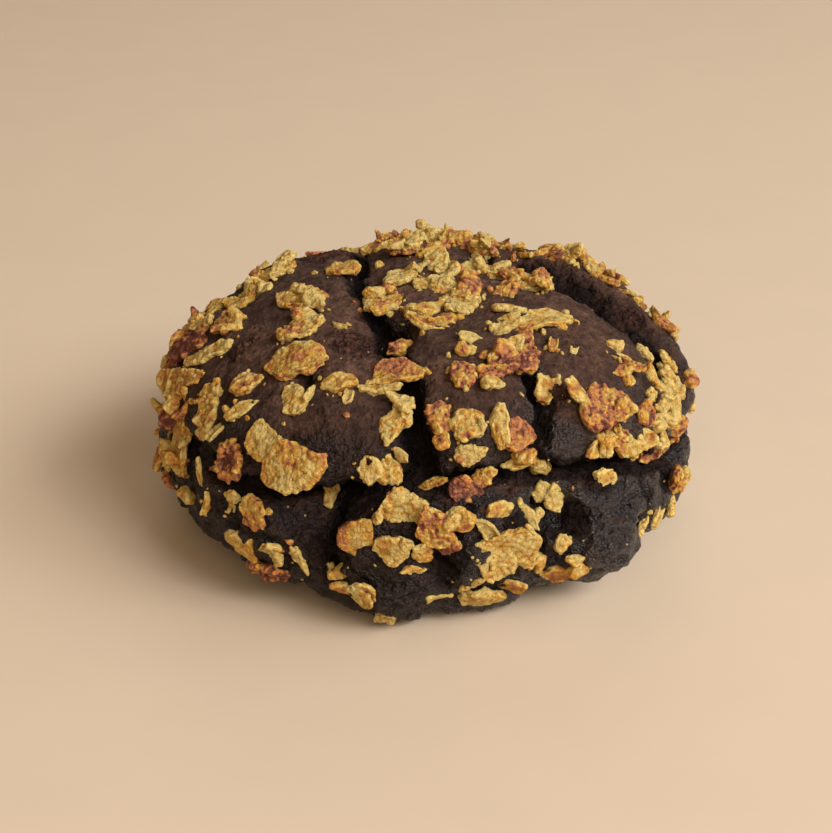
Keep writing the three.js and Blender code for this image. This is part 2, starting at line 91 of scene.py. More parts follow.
# Cracks: half-width, depth, and the places that each runs through.
CRACKS = [
    (1.7, 4.5, [(-155, 37), (-125, 60), (-78, 65), (-49, 63), (-22, 54)]),
    (2.4, 6.5, [(-20, 53), (-12, 45), (-7, 36), (-4, 28), (-3, 20), (1, 12)]),
    (1.7, 4.5, [(33, 31), (30, 25), (27, 19), (24, 12)]),
    (1.9, 11.0, [(128, 53), (114, 46), (103, 40), (94, 34), (87, 28), (82, 21), (77, 12)]),
    (2.4, 4.5, [(124, 62), (112, 56), (106, 47)]), (1.2, 2.5, [(-36, 34), (-32, 29), (-30, 23)]),
    (1.6, 3.5, [(-17, 9), (-19, 0), (-18, -10)]), (1.5, 3.0, [(26, 10), (25, 2), (24, -8)]),
    (1.3, 2.5, [(9, 6), (4, -2), (3, -10)]), (1.2, 2.5, [(48, 6), (50, -2), (49, -10)]),
    (1.8, 4.0, [(-155, 37), (-165, 25), (-160, 12)]),
    (1.8, 4.0, [(124, 62), (150, 48), (152, 30), (146, 14)]),
    (1.6, 3.5, [(-95, 35), (-112, 30), (-118, 18), (-112, 8)]),
    (1.5, 3.0, [(95, 8), (100, -2), (98, -12)]), (1.5, 3.0, [(178, 8), (172, -2), (175, -12)]),
    (1.5, 3.0, [(-128, 6), (-132, -3), (-128, -12)]),
]

# Ridges pushed up beside a crack: half-width, height, and the places that each runs through.
RIDGES = [
    (2.6, 2.8, [(122, 44), (110, 38), (101, 32), (94, 25), (88, 17), (83, 8)]),
]

# The split round the waist: bearing, elevation and depth.
WAIST_HALF_WIDTH = 2.1
LEDGE = 0.35
LEDGE_HEIGHT = 6.0
WAIST = [
    (-180, 7, 5.0), (-140, 5, 4.5), (-105, 5, 3.5), (-75, 6, 2.5), (-54, 7, 2.5), (-40, 5, 3.5),
    (-25, 7, 5.5), (-9, 10, 7.0), (5, 12, 6.5), (24, 12, 6.0), (38, 10, 7.0), (51, 6, 5.5), (73, 1, 4.5),
    (105, 2, 5.0), (140, 5, 5.0), (180, 7, 5.0),
]

# ---- How each large flake broke and toasted: a sheet, or a heap of granules stuck together; how tall
# its blisters are; how much browner it is than others of its tone; and how scorched its rim is.

SHEET = False
HEAP = True
THICK_SHARE = 0.17  # a flake without a style is a heap if it is thicker than this share of its length
FLAKE_STYLES = {
    "top": [
        (SHEET, 1.1, -0.04, 0.18), (HEAP, 0.8, 0.05, 0.0), (SHEET, 1.0, 0.14, 0.10),
        (SHEET, 0.7, 0.0, 0.10), (SHEET, 0.9, -0.04, 0.0), (SHEET, 0.6, 0.0, 0.10), (HEAP, 0.6, 0.0, 0.0),
        (SHEET, 0.7, -0.16, 0.05), (HEAP, 0.8, 0.05, 0.0), (SHEET, 0.4, 0.0, 0.18),
        (SHEET, 0.8, -0.08, 0.10), (SHEET, 0.6, 0.0, 0.0),
    ],
    "rim": [
        (HEAP, 0.6, 0.10, 0.0), (SHEET, 0.8, 0.04, 0.1), (HEAP, 0.6, 0.22, 0.0), (HEAP, 0.5, 0.08, 0.0),
        (SHEET, 0.6, 0.04, 0.1), (SHEET, 0.6, 0.0, 0.1), (SHEET, 0.9, 0.12, 0.1), (HEAP, 0.8, 0.04, 0.0),
        (SHEET, 0.8, -0.04, 0.1),
    ],
    "left": [
        (SHEET, 0.7, 0.02, 0.0), (HEAP, 0.7, 0.34, 0.0), (HEAP, 0.8, 0.06, 0.0), (HEAP, 0.8, 0.08, 0.0),
        (SHEET, 0.9, -0.04, 0.12), (HEAP, 0.7, 0.14, 0.0), (SHEET, 0.7, 0.02, 0.18),
        (SHEET, 1.2, -0.08, 0.28), (SHEET, 0.7, 0.0, 0.05),
    ],
    "front": [
        (SHEET, 0.5, -0.06, 0.22), (HEAP, 0.6, -0.04, 0.0), (HEAP, 0.8, 0.08, 0.0),
        (HEAP, 0.7, -0.08, 0.0), (HEAP, 0.5, 0.06, 0.0), (SHEET, 0.6, 0.04, 0.15),
        (SHEET, 0.9, 0.04, 0.10), (SHEET, 0.6, 0.08, 0.12),
    ],
    "right": [
        (HEAP, 0.7, 0.02, 0.0), (SHEET, 0.6, 0.0, 0.05), (SHEET, 0.7, 0.08, 0.0),
        (SHEET, 0.8, -0.12, 0.1),
    ],
    "low": [
        (SHEET, 1.0, 0.06, 0.18), (HEAP, 0.7, 0.16, 0.0), (SHEET, 0.4, -0.16, 0.22),
        (SHEET, 0.7, 0.02, 0.0), (HEAP, 0.7, 0.06, 0.0), (SHEET, 1.0, 0.02, 0.16),
        (SHEET, 0.7, 0.08, 0.1),
    ],
}

# ---- Small flakes laid one by one: bearing, elevation, length, width, turn of the long axis from level,
# and lean, how steeply the bit stands off the dough.

PALE_BITS = [
    (27.5, 5.5, 4.2, 3.4, 20, 20), (29.5, -4.5, 3.6, 2.8, -10, 20), (62.5, 7, 4.4, 3.4, 30, 25),
    (68, -4, 4.6, 3, 60, 25), (-11.5, -10.5, 4.6, 3.6, -60, 15), (-8, -19, 3.6, 2.2, 10, 15),
    (12.5, 56.5, 5, 2, 4, 15), (-41, 1.5, 4.6, 2.4, -80, 15), (65, 13.5, 4.4, 3.2, 40, 25),
    (27, 12, 3.4, 2.6, -40, 25), (-48, 25, 6, 4.4, 37, 5), (-44, 20, 6.5, 2.6, 50, 10),
    (-49, 14, 4.6, 1.8, 75, 20), (-29, 27, 3.4, 1.3, 88, 10), (-12, 33, 5, 1.6, 20, 20),
    (-12, 31, 7, 2.2, 12, 5), (-6, 28, 5.2, 3.4, -18, 20), (-5, 17, 4, 1.8, -44, 20),
    (-11, 14, 5, 4, -85, 5), (-19, 28, 2.6, 1.8, 80, 10), (-74, 50, 3.6, 1.8, 30, 10),
    (-40, 48, 3, 1.4, 5, 10), (-2, 64, 7, 3.4, 20, 15), (2, 55, 7.4, 2, -8, 15),
    (24, 62, 4.6, 2.2, -30, 30), (50, 54, 6.2, 4.2, -30, 20), (42, 50, 4, 2.4, -20, 30),
    (158, 76, 6.6, 4.4, -90, 25), (8, 84, 4.4, 3.4, 0, 30), (120, 70, 6, 4.2, 140, 35),
    (36, 47, 6, 2.4, -11, 20), (18, 47, 4.4, 3, -13, 25), (137, 62, 9.5, 2.6, 142, 40),
    (143, 56, 6, 2.2, 132, 60), (48, 34, 1.8, 1.4, 0, 0), (44, 37, 3.4, 1.8, 30, 15),
    (77, 22, 4, 2.2, -104, 5), (34, 27, 5.4, 4.2, -123, 20), (61, 25, 6.6, 3.2, -80, 30),
    (17, 22, 7.2, 3.2, -100, 25), (10, 17, 5.4, 3.8, 12, 20), (20, 14, 5, 2.8, -2, 30),
    (29, 10, 3.6, 2.8, -29, 10), (41, 6, 5.4, 3.4, -28, 10), (29, 4, 5, 3.8, -90, 10),
    (22, 2, 6, 2, -58, 25), (12, 3, 6.2, 2.6, -47, 20), (5, 5, 4, 2.8, 40, 20), (-9, 5, 3, 1.6, 60, 30),
    (-4, 1, 2, 1, 80, 30), (-23, 5, 5.2, 2.8, -86, 20), (-48, -1, 4, 1.6, -86, 20),
    (-52, 3, 6.4, 1.4, -80, 10), (-25.5, -7, 5.6, 2.4, -59, 6), (-31, -6.5, 4.8, 3.8, -64, 8),
    (-12, -11, 5, 4.2, -50, 10), (-7, -17, 2.6, 2, 9, 10), (-2, -5, 4.4, 1.5, -9, 20),
    (3, -13, 4.4, 1.8, -1, 10), (9, -9, 5, 1.8, 37, 15), (30, -7, 4.4, 1.8, -15, 20),
    (52, -9, 4.6, 2.4, 30, 30), (56, -8, 5, 2.2, 40, 30), (61, -7, 4.6, 2.4, 20, 30),
    (75, 8, 5, 2.4, 60, 8), (60, 12, 3.4, 2.6, 40, 30), (58, 8, 3.2, 1.4, -60, 30),
    (66, 10, 3.6, 3, 0, 30), (-95, 40, 4.4, 2.6, 40, 20), (-70, 12, 4, 2.4, -70, 20),
    (174, 50, 6.4, 3.6, 10, 42), (-170, 50, 5, 3.4, -20, 35), (150, 45, 5, 3, 20, 45),
    (114, 36, 6, 3, 40, 30), (-103, 31, 5, 3, 40, 25),
]

GOLDEN_BITS = [
    (65.5, 29.5, 3.4, 3, -34, 10), (-38.5, -6, 6.8, 5.4, -50, 8), (18.5, 31, 4, 2.8, -10, 15),
    (31.5, -10, 4.2, 3, 10, 20), (38, 12.5, 3.6, 2.6, 20, 25), (49.5, 10, 4.6, 3.4, -20, 25),
    (56, 23, 4.2, 3, 30, 25), (41.5, 12.5, 4, 3, 60, 25), (55, 10, 4.2, 3.4, -50, 25),
    (69, 18, 6.6, 2, -86, 5), (61.5, 17.5, 2.6, 2.2, 30, 5), (86, 6, 5, 3.4, 40, 6),
    (77, 14.5, 7.2, 2.4, -84, 4), (-55, 46, 4.4, 3.8, 35, 20), (-160, 50, 6, 4.6, 20, 15),
    (168, 60, 6.2, 3.6, -20, 20), (152, 40, 6.4, 3.6, 20, 20), (143, 43, 7, 3.6, -10, 25),
    (108, 27, 4.6, 2.6, 20, 20), (83, 17, 5, 2.2, -80, 4), (78, 9, 5.4, 2.6, 80, 5),
    (72, 6, 5.4, 4, -20, 30), (68, 20, 4.2, 2.4, 70, 20), (39, 25, 6.2, 2.8, -58, 25),
    (30, 40, 3.6, 2.8, 0, 30), (14, 42, 3.4, 2.6, 0, 40), (7, 5, 5.8, 4.2, 10, 15),
    (2, 10, 5, 1.8, 17, 20), (-17, -12, 4.4, 2.8, -44, 15), (-62, 8, 4.4, 3, -60, 20),
    (-66, 20, 4.6, 3, 40, 20), (-76, -3, 7.6, 3.2, -95, 20), (-88, 14, 5.6, 3.6, 20, 30),
    (-84, 27, 5.4, 3, 60, 30), (-100, 36, 5.6, 3.6, 10, 25), (-75, 2, 5, 3.4, 70, 30),
    (-115, 42, 6.4, 3, 170, 15), (47, 14, 4.4, 3, -40, 30), (30, -13, 6, 3.4, -7, 25),
    (18, -13, 5, 3.4, 20, 25), (24, -9, 4, 3, -60, 30), (57, 6, 4.4, 3.2, 10, 30),
    (-59, -4, 4, 3, 10, 20), (-163, 48, 6, 3.8, 0, 55), (157, 48, 5.4, 3.4, 10, 50),
    (126, 41, 6.4, 4.2, 20, 50), (120, 38.5, 7, 4.6, 10, 50), (-95, 23, 5, 3.8, 50, 20),
    (-78, 13, 5.6, 4.4, 70, 15), (-106, 34, 4.6, 3, 30, 35), (167, 49, 5, 3.2, -10, 50),
    (-84, 3, 7, 4, -85, 35), (-81, -5, 6.2, 3.6, -100, 35),
]

TOASTED_BITS = [
    (84, 12, 3.6, 2.6, 60, 5), (-10, 47, 5.8, 2.6, 41, 25), (-57, 45, 3.8, 2.6, 40, 30),
    (-70, 9, 6, 4.4, 30, 25), (-78, 14, 5.6, 4.4, 0, 25), (-90, 24, 5, 4, 60, 30),
    (-66, 1, 4.4, 3.2, 50, 25), (-97, 10, 5.6, 4.2, 30, 25), (-169, 52, 4.4, 3.4, 10, 30),
    (162, 52, 5.6, 4, -20, 25), (148, 50, 4.6, 3.2, 20, 30), (128, 44, 5.4, 3.6, 30, 25),
    (122, 39.5, 5, 3.2, 5, 55), (56, 15, 5, 4.4, -60, 25), (47, 19, 4.4, 3.4, 20, 35),
    (58, 25, 4.6, 3.2, -20, 30), (36, 41, 4.6, 3.4, 20, 30), (26, 39, 4, 3.2, -40, 30),
    (20, 34, 5.6, 2.6, -10, 15), (22, 15, 4, 3, -30, 30), (16, 5, 5.4, 3, -1, 25),
    (13, 12, 4.4, 3.2, 30, 30), (0, -2, 4.4, 3.2, -60, 25), (-8, 13, 4.6, 3.8, 10, 20),
    (4, 20, 3.6, 2.8, -80, 25), (-46, 6, 3.8, 3.2, 0, 30), (74, 1, 4.6, 3, 30, 30),
    (64, 3, 4, 2.8, -30, 30), (-90, 18, 6, 5, 30, 20), (-84, 14, 4.8, 4, -20, 20),
    (-74, 8, 4.6, 3.6, 60, 15), (122, 42, 4.6, 3.4, 0, 45), (-76, -9, 4.8, 3.4, 60, 25),
    (113, 33, 3, 2, 60, 50),
]

# Round lobes that swelled out below the waist, and hollows under its lip: bearing, elevation,
# radius and height.
LOBES = [
    (-21, 4.5, 5.5, -3.2), (-26, 4, 4.5, -2.6), (-16.5, 8, 4, -2.8), (29.5, 1, 3.5, -2.8),
    (28, 5.5, 3, -1.5), (-6, 14, 3.5, -2), (1, 3, 3.2, -2), (15, 9, 3.2, -1.8), (39, -9, 7, 2),
    (51, 1, 6, 1.6), (-8, -17, 6.5, 2.2), (13, -22, 6, 1.4), (-42, -3, 10, 1.8), (-60, -12, 8, 1.2),
    (-26, -16, 6, 1.4), (8, -5, 5, 1.2), (64, -10, 6, 1.4), (84, -6, 8, 1.4), (110, -12, 8, 1.2),
    (140, -8, 9, 1.4), (172, -12, 9, 1.4), (-150, -10, 8, 1.4), (-118, -6, 9, 1.4), (-88, -12, 8, 1.2),
]

# Patches where the crust tore open and shows crumb: bearing, elevation and radius.
TORN_PATCHES = [
    (-27, 44, 5), (-12, 42, 3.5), (90, 28, 4), (97, 37, 4), (76, 12, 4), (-10, 10, 5), (22, 13, 3.5),
    (34, 26, 3), (-60, 30, 2.5), (40, 8, 4), (5, -3, 4.5), (20, -2, 5), (30, 0, 4), (-20, -4, 4),
    (-36, -12, 4), (66, -2, 5), (150, 34, 6), (-140, 40, 5), (-110, 20, 4), (120, 0, 5), (-160, 0, 6),
    (-125, -5, 5),
]

# Bare patches of dough: bearing, elevation and radius. Scattered bits and crumbs keep off them.
BARE_PATCHES = [
    (-129, 37, 5), (-137, 40, 5), (-145, 42, 5), (-151, 45, 3.5), (-117, 62, 4.5), (-70, 61, 4.5),
    (-90, 55, 6), (-112, 68, 4), (-53, 81, 4), (11, 71, 3.5), (100, 38, 6), (-26, 24, 8), (-33, 31, 5),
    (-68, 32, 10), (-30, 50, 6), (-120, 50, 7), (50, 36, 9), (24, 30, 4), (93, 33, 8), (80, 45, 5),
    (40, -5, 8), (-28, 0, 6), (-40, 0, 4), (38, 18, 5), (-4, -13, 5), (50, 0, 6),
]

# ---- Settings shown in the sidebar.


def colour_setting(name, description, default):
    return FloatVectorProperty(
        name=name, description=description, default=default, size=3, min=0, max=1, subtype="COLOR"
    )


def length_setting(name, description, default, least=0.0):
    """A length given in millimetres, kept in metres."""
    return FloatProperty(
        name=name, description=description, default=default * MM, min=least * MM, unit="LENGTH"
    )


class DoughSettings(bpy.types.PropertyGroup):
    """How the dough is modelled and coloured."""

    net: length_setting("Net", "Edge of the dough's net", 0.40, least=0.3)
    triangles: IntProperty(
        name="Triangles", description="Most triangles of the finished dough", default=192000, min=20000
    )
    wander: length_setting("Wander", "How far cracks stray", 1.3)
    wrinkles: length_setting("Wrinkles", "Height of the wrinkles", 0.30)
    crust: colour_setting("Crust", "Dry baked skin", (0.118, 0.058, 0.036))
    crust_deep: colour_setting("Deep crust", "Darker patches of the skin", (0.066, 0.032, 0.0215))
    crumb: colour_setting("Crumb", "Where the skin tore above the waist", (0.128, 0.046, 0.029))
    # Dark tone for wet dough below the waist and in cracks; the same tone is laid on upright faces and
    # crack walls as painted shade.
    wet_and_shaded: colour_setting("Moist dough", "In cracks and below the waist", (0.0160, 0.0066, 0.0046))


class FlakeSettings(bpy.types.PropertyGroup):
    """How the flakes are modelled and coloured."""

    net: length_setting("Net", "Edge of a large flake's net", 0.23, least=0.15)
    ragged: length_setting("Raggedness", "How far edges stray", 0.45)
    blister: length_setting("Blisters", "Height of the blisters", 0.28)
    pressed: length_setting("Pressed in", "How deep flakes sit", 0.35)
    pale: colour_setting("Pale", "Least toasted flake", (0.575, 0.396, 0.122))
    golden: colour_setting("Golden", "Golden flake", (0.525, 0.275, 0.040))
    orange: colour_setting("Orange", "Well toasted flake", (0.45, 0.162, 0.054))
    brown: colour_setting("Brown", "Scorched flake", (0.155, 0.043, 0.023))


class CrumbSettings(bpy.types.PropertyGroup):
    """The scattered small bits and crumbs."""

    bits: IntProperty(name="Bits", description="Bits round the sides and back", default=215, min=0)
    crumbs: IntProperty(name="Crumbs", description="Crumbs on the dough", default=700, min=0)
    seed: IntProperty(name="Seed", description="Changes the scatter", default=7)


class StageSettings(bpy.types.PropertyGroup):
    """The floor, the camera and the lights."""

    floor: colour_setting("Floor", "Colour of the table", (0.744, 0.567, 0.397))
    elevation: FloatProperty(
        name="Elevation", description="Height of the view", default=math.radians(25), subtype="ANGLE"
    )
    distance: FloatProperty(name="Distance", description="Camera to cookie", default=0.33, unit="LENGTH")
    lens: FloatProperty(name="Lens", description="Focal length", default=85, subtype="DISTANCE_CAMERA")


# ---- Unevenness, on arrays of points. A seed is any whole number, another one for each layer.

MASK = np.uint64(0xFFFFFFFF)
CORNERS = [(i & 1, (i >> 1) & 1, (i >> 2) & 1) for i in range(8)]


def scramble(cells, seed):
    """A number from 0 to 1 for each row of whole numbers."""
    c = cells.astype(np.int64).astype(np.uint64)
    h = c[:, 0] * np.uint64(374761393) + c[:, 1] * np.uint64(668265263)
    h = (h + c[:, 2] * np.uint64(1274126177) + np.uint64(seed * 2654435761)) & MASK
    h = ((h ^ (h >> np.uint64(13))) * np.uint64(1103515245)) & MASK
    h = ((h ^ (h >> np.uint64(16))) * np.uint64(2246822519)) & MASK
    return ((h ^ (h >> np.uint64(15))) & MASK).astype(float) / 4294967295.0


def noise(points, span, seed=0):
    """Smooth unevenness from -1 to 1, with bumps about a span apart."""
    p = points / span
    cell = np.floor(p)
    t = p - cell
    t = t * t * (3 - 2 * t)
    total = np.zeros(len(p))
    for corner in CORNERS:
        weight = np.ones(len(p))
        for axis in range(3):
            weight *= t[:, axis] if corner[axis] else 1 - t[:, axis]
        total += weight * scramble(cell + corner, seed)
    return 2 * total - 1


def layered(points, span, layers, seed=0):
    """Noise with finer and finer noise added."""
    total = sum(noise(points, span / 2**i, seed + i) / 2**i for i in range(layers))
    return total / sum(0.5**i for i in range(layers))


def drift(points, span, layers, seed=0):
    """A noise vector for each point."""
    return np.stack([layered(points, span, layers, seed + 17 * axis) for axis in range(3)], axis=1)


def cells(points, span, seed=0):
    """Distances to the nearest and second nearest of scattered seeds, in spans, and the nearest
    seed's own number from 0 to 1."""
    p = points / span
    base = np.floor(p)
    nearest = np.full(len(p), 9.0)
    second = np.full(len(p), 9.0)
    own = np.zeros(len(p))
    for i in range(27):
        cell = base + np.array([i % 3 - 1, i // 3 % 3 - 1, i // 9 - 1])
        centre = cell + np.stack([scramble(cell, seed + 31 * axis) for axis in range(3)], axis=1)
        distance = np.linalg.norm(p - centre, axis=1)
        closer = distance < nearest
        second = np.where(closer, nearest, np.minimum(second, distance))
        nearest = np.where(closer, distance, nearest)
        own = np.where(closer, scramble(cell, seed + 93), own)
    return nearest, second, own


def domes(distance, reach=0.85):
    """Height of round domes over scattered seeds, from 0 at their foot to 1."""
    return np.sqrt(np.clip(1 - (distance / reach) ** 2, 0, 1))


def smoothstep(value, low, high):
    t = np.clip((value - low) / (high - low), 0, 1)
    return t * t * (3 - 2 * t)


# ---- The dough's form, on arrays of directions from its middle.


def direction_to(bearing, elevation):
    """Unit vectors to places on the cookie, from degrees."""
    b = np.radians(np.asarray(bearing, float))
    e = np.radians(np.asarray(elevation, float))
    return np.stack([np.sin(b) * np.cos(e), -np.cos(b) * np.cos(e), np.sin(e) + 0 * b], axis=-1)


def plain_radius(directions):
    out = np.hypot(directions[:, 0], directions[:, 1])
    above = directions[:, 2] >= 0
    fullness = np.where(above, CAP_FULLNESS, FOOT_FULLNESS)
    depth = np.where(above, CAP_HEIGHT, FOOT_DEPTH)
    height = np.abs(directions[:, 2]) / depth
    return ((out / COOKIE_RADIUS) ** fullness + height**fullness) ** (-1 / fullness)


def plain_point(direction):
    return direction * plain_radius(direction[None])[0]


def on_plain_dough(bearing, elevation):
    return plain_point(direction_to(bearing, elevation))


def to_segment(points, start, end):
    """Distance of points from a line between two points, and how far along it they are."""
    line = end - start
    along = np.clip((points - start) @ line / (line @ line), 0, 1)
    return np.linalg.norm(points - start - along[:, None] * line, axis=1), along


def groove(distance, half_width, depth):
    """Depth of a groove at a distance from its middle: steep walls with rounded shoulders."""
    wall = np.exp(-((distance / half_width) ** 6))
    shoulder = np.exp(-((distance / (2.4 * half_width)) ** 2))
    return depth * (0.72 * wall + 0.28 * shoulder)


def to_path(points, places):
    """Distance of points from a line on the plain dough through some places."""
    corners = [on_plain_dough(*place) for place in places]
    nearest = np.full(len(points), 99.0)
    for start, end in zip(corners, corners[1:]):
        nearest = np.minimum(nearest, to_segment(points, start, end)[0])
    return nearest


def bank(distance, half_width, height):
    """Height of a ridge at a distance from its middle."""
    return height * np.exp(-((distance / half_width) ** 2))


def most_along(points, paths, profile):
    """The most that a groove or a bank reaches at each point, over a table of cracks or ridges."""
    most = np.zeros(len(points))
    for half_width, amount, places in paths:
        most = np.maximum(most, profile(to_path(points, places), half_width, amount))
    return most


def waist_depth(points):
    """Depth of the waist's split, and height above its middle line."""
    nearest = np.full(len(points), 99.0)
    depth_there = np.zeros(len(points))
    level_there = np.zeros(len(points))
    for (b0, e0, d0), (b1, e1, d1) in zip(WAIST, WAIST[1:]):
        steps = max(2, round((b1 - b0) / 6))
        for i in range(steps):
            s, t = i / steps, (i + 1) / steps
            start = on_plain_dough(b0 + (b1 - b0) * s, e0 + (e1 - e0) * s)
            end = on_plain_dough(b0 + (b1 - b0) * t, e0 + (e1 - e0) * t)
            distance, along = to_segment(points, start, end)
            closer = distance < nearest
            nearest = np.where(closer, distance, nearest)
            share = s + (t - s) * along
            depth_there = np.where(closer, d0 + (d1 - d0) * share, depth_there)
            level_there = np.where(closer, start[2] + (end[2] - start[2]) * along, level_there)
    above = points[:, 2] - level_there
    ledge = np.where(above < 0, LEDGE * depth_there * np.exp(-((nearest / LEDGE_HEIGHT) ** 2)), 0)
    return np.maximum(groove(nearest, WAIST_HALF_WIDTH, depth_there), ledge), above, depth_there


def away_from(points, table):
    """For each place of a table: how far the points are from it, and the rest of its row."""
    for bearing, elevation, *rest in table:
        yield np.linalg.norm(points - on_plain_dough(bearing, elevation), axis=1), *rest


def dough_skin(directions, wander):
    """Points of the dough's skin from its middle, and how deep each lies in a crack."""
    points = directions * plain_radius(directions)[:, None]
    strayed = points + wander * (drift(points, 6.5, 2, 40) + 0.55 * drift(points, 2.0, 2, 43))
    radius = np.linalg.norm(points, axis=1)
    for bearing, elevation, spread, height in SWELLINGS:
        centre = on_plain_dough(bearing, elevation)
        radius += height * np.exp(-np.sum((points - centre) ** 2, axis=1) / spread**2)
    for away, spread, height in away_from(strayed, LOBES):
        radius += height * domes(away, spread)
    waist, above, waist_there = waist_depth(strayed)
    sunk = np.maximum(most_along(strayed, CRACKS, groove), waist)
    radius += most_along(strayed, RIDGES, bank) - sunk
    radius += 0.6 * layered(points, 6, 2, 3)
    skin = directions * radius[:, None]
    droop = np.exp(-(((above - 2.6) / 1.5) ** 2)) * waist_there / 7
    skin[:, 2] -= 1.1 * droop
    return skin, sunk


def torn_at(points):
    """From 0 to 1, how torn the crust is at points near the skin."""
    strayed = points + 2.0 * drift(points, 4, 3, 70)
    torn = np.zeros(len(points))
    for away, radius in away_from(strayed, TORN_PATCHES):
        torn = np.maximum(torn, 1 - smoothstep(away, 0.6 * radius, 1.15 * radius))
    return torn


def sunk_at(points, wander):
    """How deep points near the skin lie in cracks, in millimetres."""
    directions = points / np.linalg.norm(points, axis=1)[:, None]
    return dough_skin(directions, wander)[1]


# ---- Meshes.


def raw_mesh(name, points, faces):
    """A mesh from arrays of points and of faces with one number of corners."""
    mesh = bpy.data.meshes.new(name)
    corners = faces.shape[1]
    mesh.vertices.add(len(points))
    mesh.vertices.foreach_set("co", np.ascontiguousarray(points, np.float32).ravel())
    mesh.loops.add(faces.size)
    mesh.loops.foreach_set("vertex_index", np.ascontiguousarray(faces, np.int32).ravel())
    mesh.polygons.add(len(faces))
    mesh.polygons.foreach_set("loop_start", np.arange(0, faces.size, corners, dtype=np.int32))
    mesh.update(calc_edges=True)
    mesh.validate()
    return mesh


def mesh_arrays(mesh):
    """Points and triangles of a mesh."""
    points = np.empty(len(mesh.vertices) * 3)
    mesh.vertices.foreach_get("co", points)
    mesh.calc_loop_triangles()
    triangles = np.empty(len(mesh.loop_triangles) * 3, np.int32)
    mesh.loop_triangles.foreach_get("vertices", triangles)
    return points.reshape(-1, 3), triangles.reshape(-1, 3)


def new_object(name, data):
    made = bpy.data.objects.new(name, data)
    bpy.context.scene.collection.objects.link(made)
    return made


def modified(points, faces, kind, **settings):
    """A new mesh of the surface with one modifier applied."""
    mesh = raw_mesh("work", points, faces)
    carrier = new_object("work", mesh)
    modifier = carrier.modifiers.new("work", kind)
    for key, value in settings.items():
        setattr(modifier, key, value)
    graph = bpy.context.evaluated_depsgraph_get()
    made = bpy.data.meshes.new_from_object(carrier.evaluated_get(graph))
    bpy.data.objects.remove(carrier)
    bpy.data.meshes.remove(mesh)
    return made


def even_net(points, faces, edge):
    """The closed surface as an even net with that edge, as points and faces of four corners."""
    made = modified(points, faces, "REMESH", mode="VOXEL", voxel_size=edge)
    net_points = np.empty(len(made.vertices) * 3)
    made.vertices.foreach_get("co", net_points)
    loops = np.empty(len(made.loops), np.int32)
    made.loops.foreach_get("vertex_index", loops)
    if len(loops) != 4 * len(made.polygons):
        raise RuntimeError("the even net has faces that don't have four corners")
    bpy.data.meshes.remove(made)
    return net_points.reshape(-1, 3), loops.reshape(-1, 4)


def halves(a, b, c, d):
    """Both triangles of each four-cornered face, from arrays of its corners."""
    return [np.stack([a, b, c], axis=1), np.stack([a, c, d], axis=1)]


def with_plain_base(points, faces, level):
    """Triangles of a closed net, with those inside its flat base swapped for one fan."""
    faces = np.concatenate(halves(*faces.T))
    inner = (points[:, 2] < level)[faces].all(axis=1)
    kept = faces[~inner]
    edges = np.concatenate([kept[:, [0, 1]], kept[:, [1, 2]], kept[:, [2, 0]]])
    key = edges[:, 0] * len(points) + edges[:, 1]
    turned = edges[:, 1] * len(points) + edges[:, 0]
    rim = edges[~np.isin(key, turned)]
    middle = points[np.unique(rim)].mean(axis=0)
    fan = np.column_stack([rim[:, 1], rim[:, 0], np.full(len(rim), len(points))])
    faces = np.concatenate([kept, fan])
    points = np.concatenate([points, middle[None]])
    used, places = np.unique(faces, return_inverse=True)
    return points[used], places.reshape(-1, 3)


def thinned(points, faces, share):
    """The net with that share of its triangles, dropped where it is flattest."""
    made = modified(points, faces, "DECIMATE", ratio=share)
    arrays = mesh_arrays(made)
    bpy.data.meshes.remove(made)
    return arrays


def relaxed(points, faces, rounds):
    """Points moved towards their neighbours' average."""
    sides = faces.shape[1]
    edges = np.concatenate([faces[:, [i, (i + 1) % sides]] for i in range(sides)])
    start, end = edges.T
    size = len(points)
    count = np.bincount(start, minlength=size) + np.bincount(end, minlength=size)
    for _ in range(rounds):
        total = np.zeros_like(points)
        for axis in range(3):
            total[:, axis] = np.bincount(start, points[end, axis], size)
            total[:, axis] += np.bincount(end, points[start, axis], size)
        points = 0.5 * points + 0.5 * total / count[:, None]
    return points


def point_normals(points, faces):
    normals = np.zeros_like(points)
    diagonal = points[faces[:, 2]] - points[faces[:, 0]]
    across = np.cross(diagonal, points[faces[:, -1]] - points[faces[:, 1]])
    for corner in range(faces.shape[1]):
        for axis in range(3):
            normals[:, axis] += np.bincount(faces[:, corner], across[:, axis], len(points))
    return normals / np.maximum(np.linalg.norm(normals, axis=1), 1e-9)[:, None]


def finished(name, points, faces, material, attributes, replaced=()):
    """Makes a piece of the cookie from millimetre points, attaches it to the root body, and hides the CAD
    parts it replaces.
    """
    mesh = raw_mesh(name, points * MM, faces)
    mesh.polygons.foreach_set("use_smooth", np.ones(len(mesh.polygons), bool))
    for key, values in attributes.items():
        layer = mesh.attributes.new(key, "FLOAT", "POINT")
        layer.data.foreach_set("value", values.astype(np.float32))
    mesh.materials.append(material)
    piece = new_object(name, mesh)
    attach(piece, "root")
    if replaced:
        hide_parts(*replaced)


class Pile:
    """Collects many small solids into one piece."""

    def __init__(self):
        self.points = []
        self.faces = []
        self.attributes = {}
        self.count = 0

    def add(self, points, faces, **attributes):
        self.points.append(points)
        self.faces.append(faces + self.count)
        self.count += len(points)
        for key, values in attributes.items():
            self.attributes.setdefault(key, []).append(np.broadcast_to(values, len(points)))

    def finish(self, name, material, slot):
        if not self.points:
            raise RuntimeError(f"nothing was laid for {name}")
        points, faces = np.concatenate(self.points), np.concatenate(self.faces)
        attributes = {key: np.concatenate(parts) for key, parts in self.attributes.items()}
        finished(name, points, faces, material, attributes)


# ---- Materials.


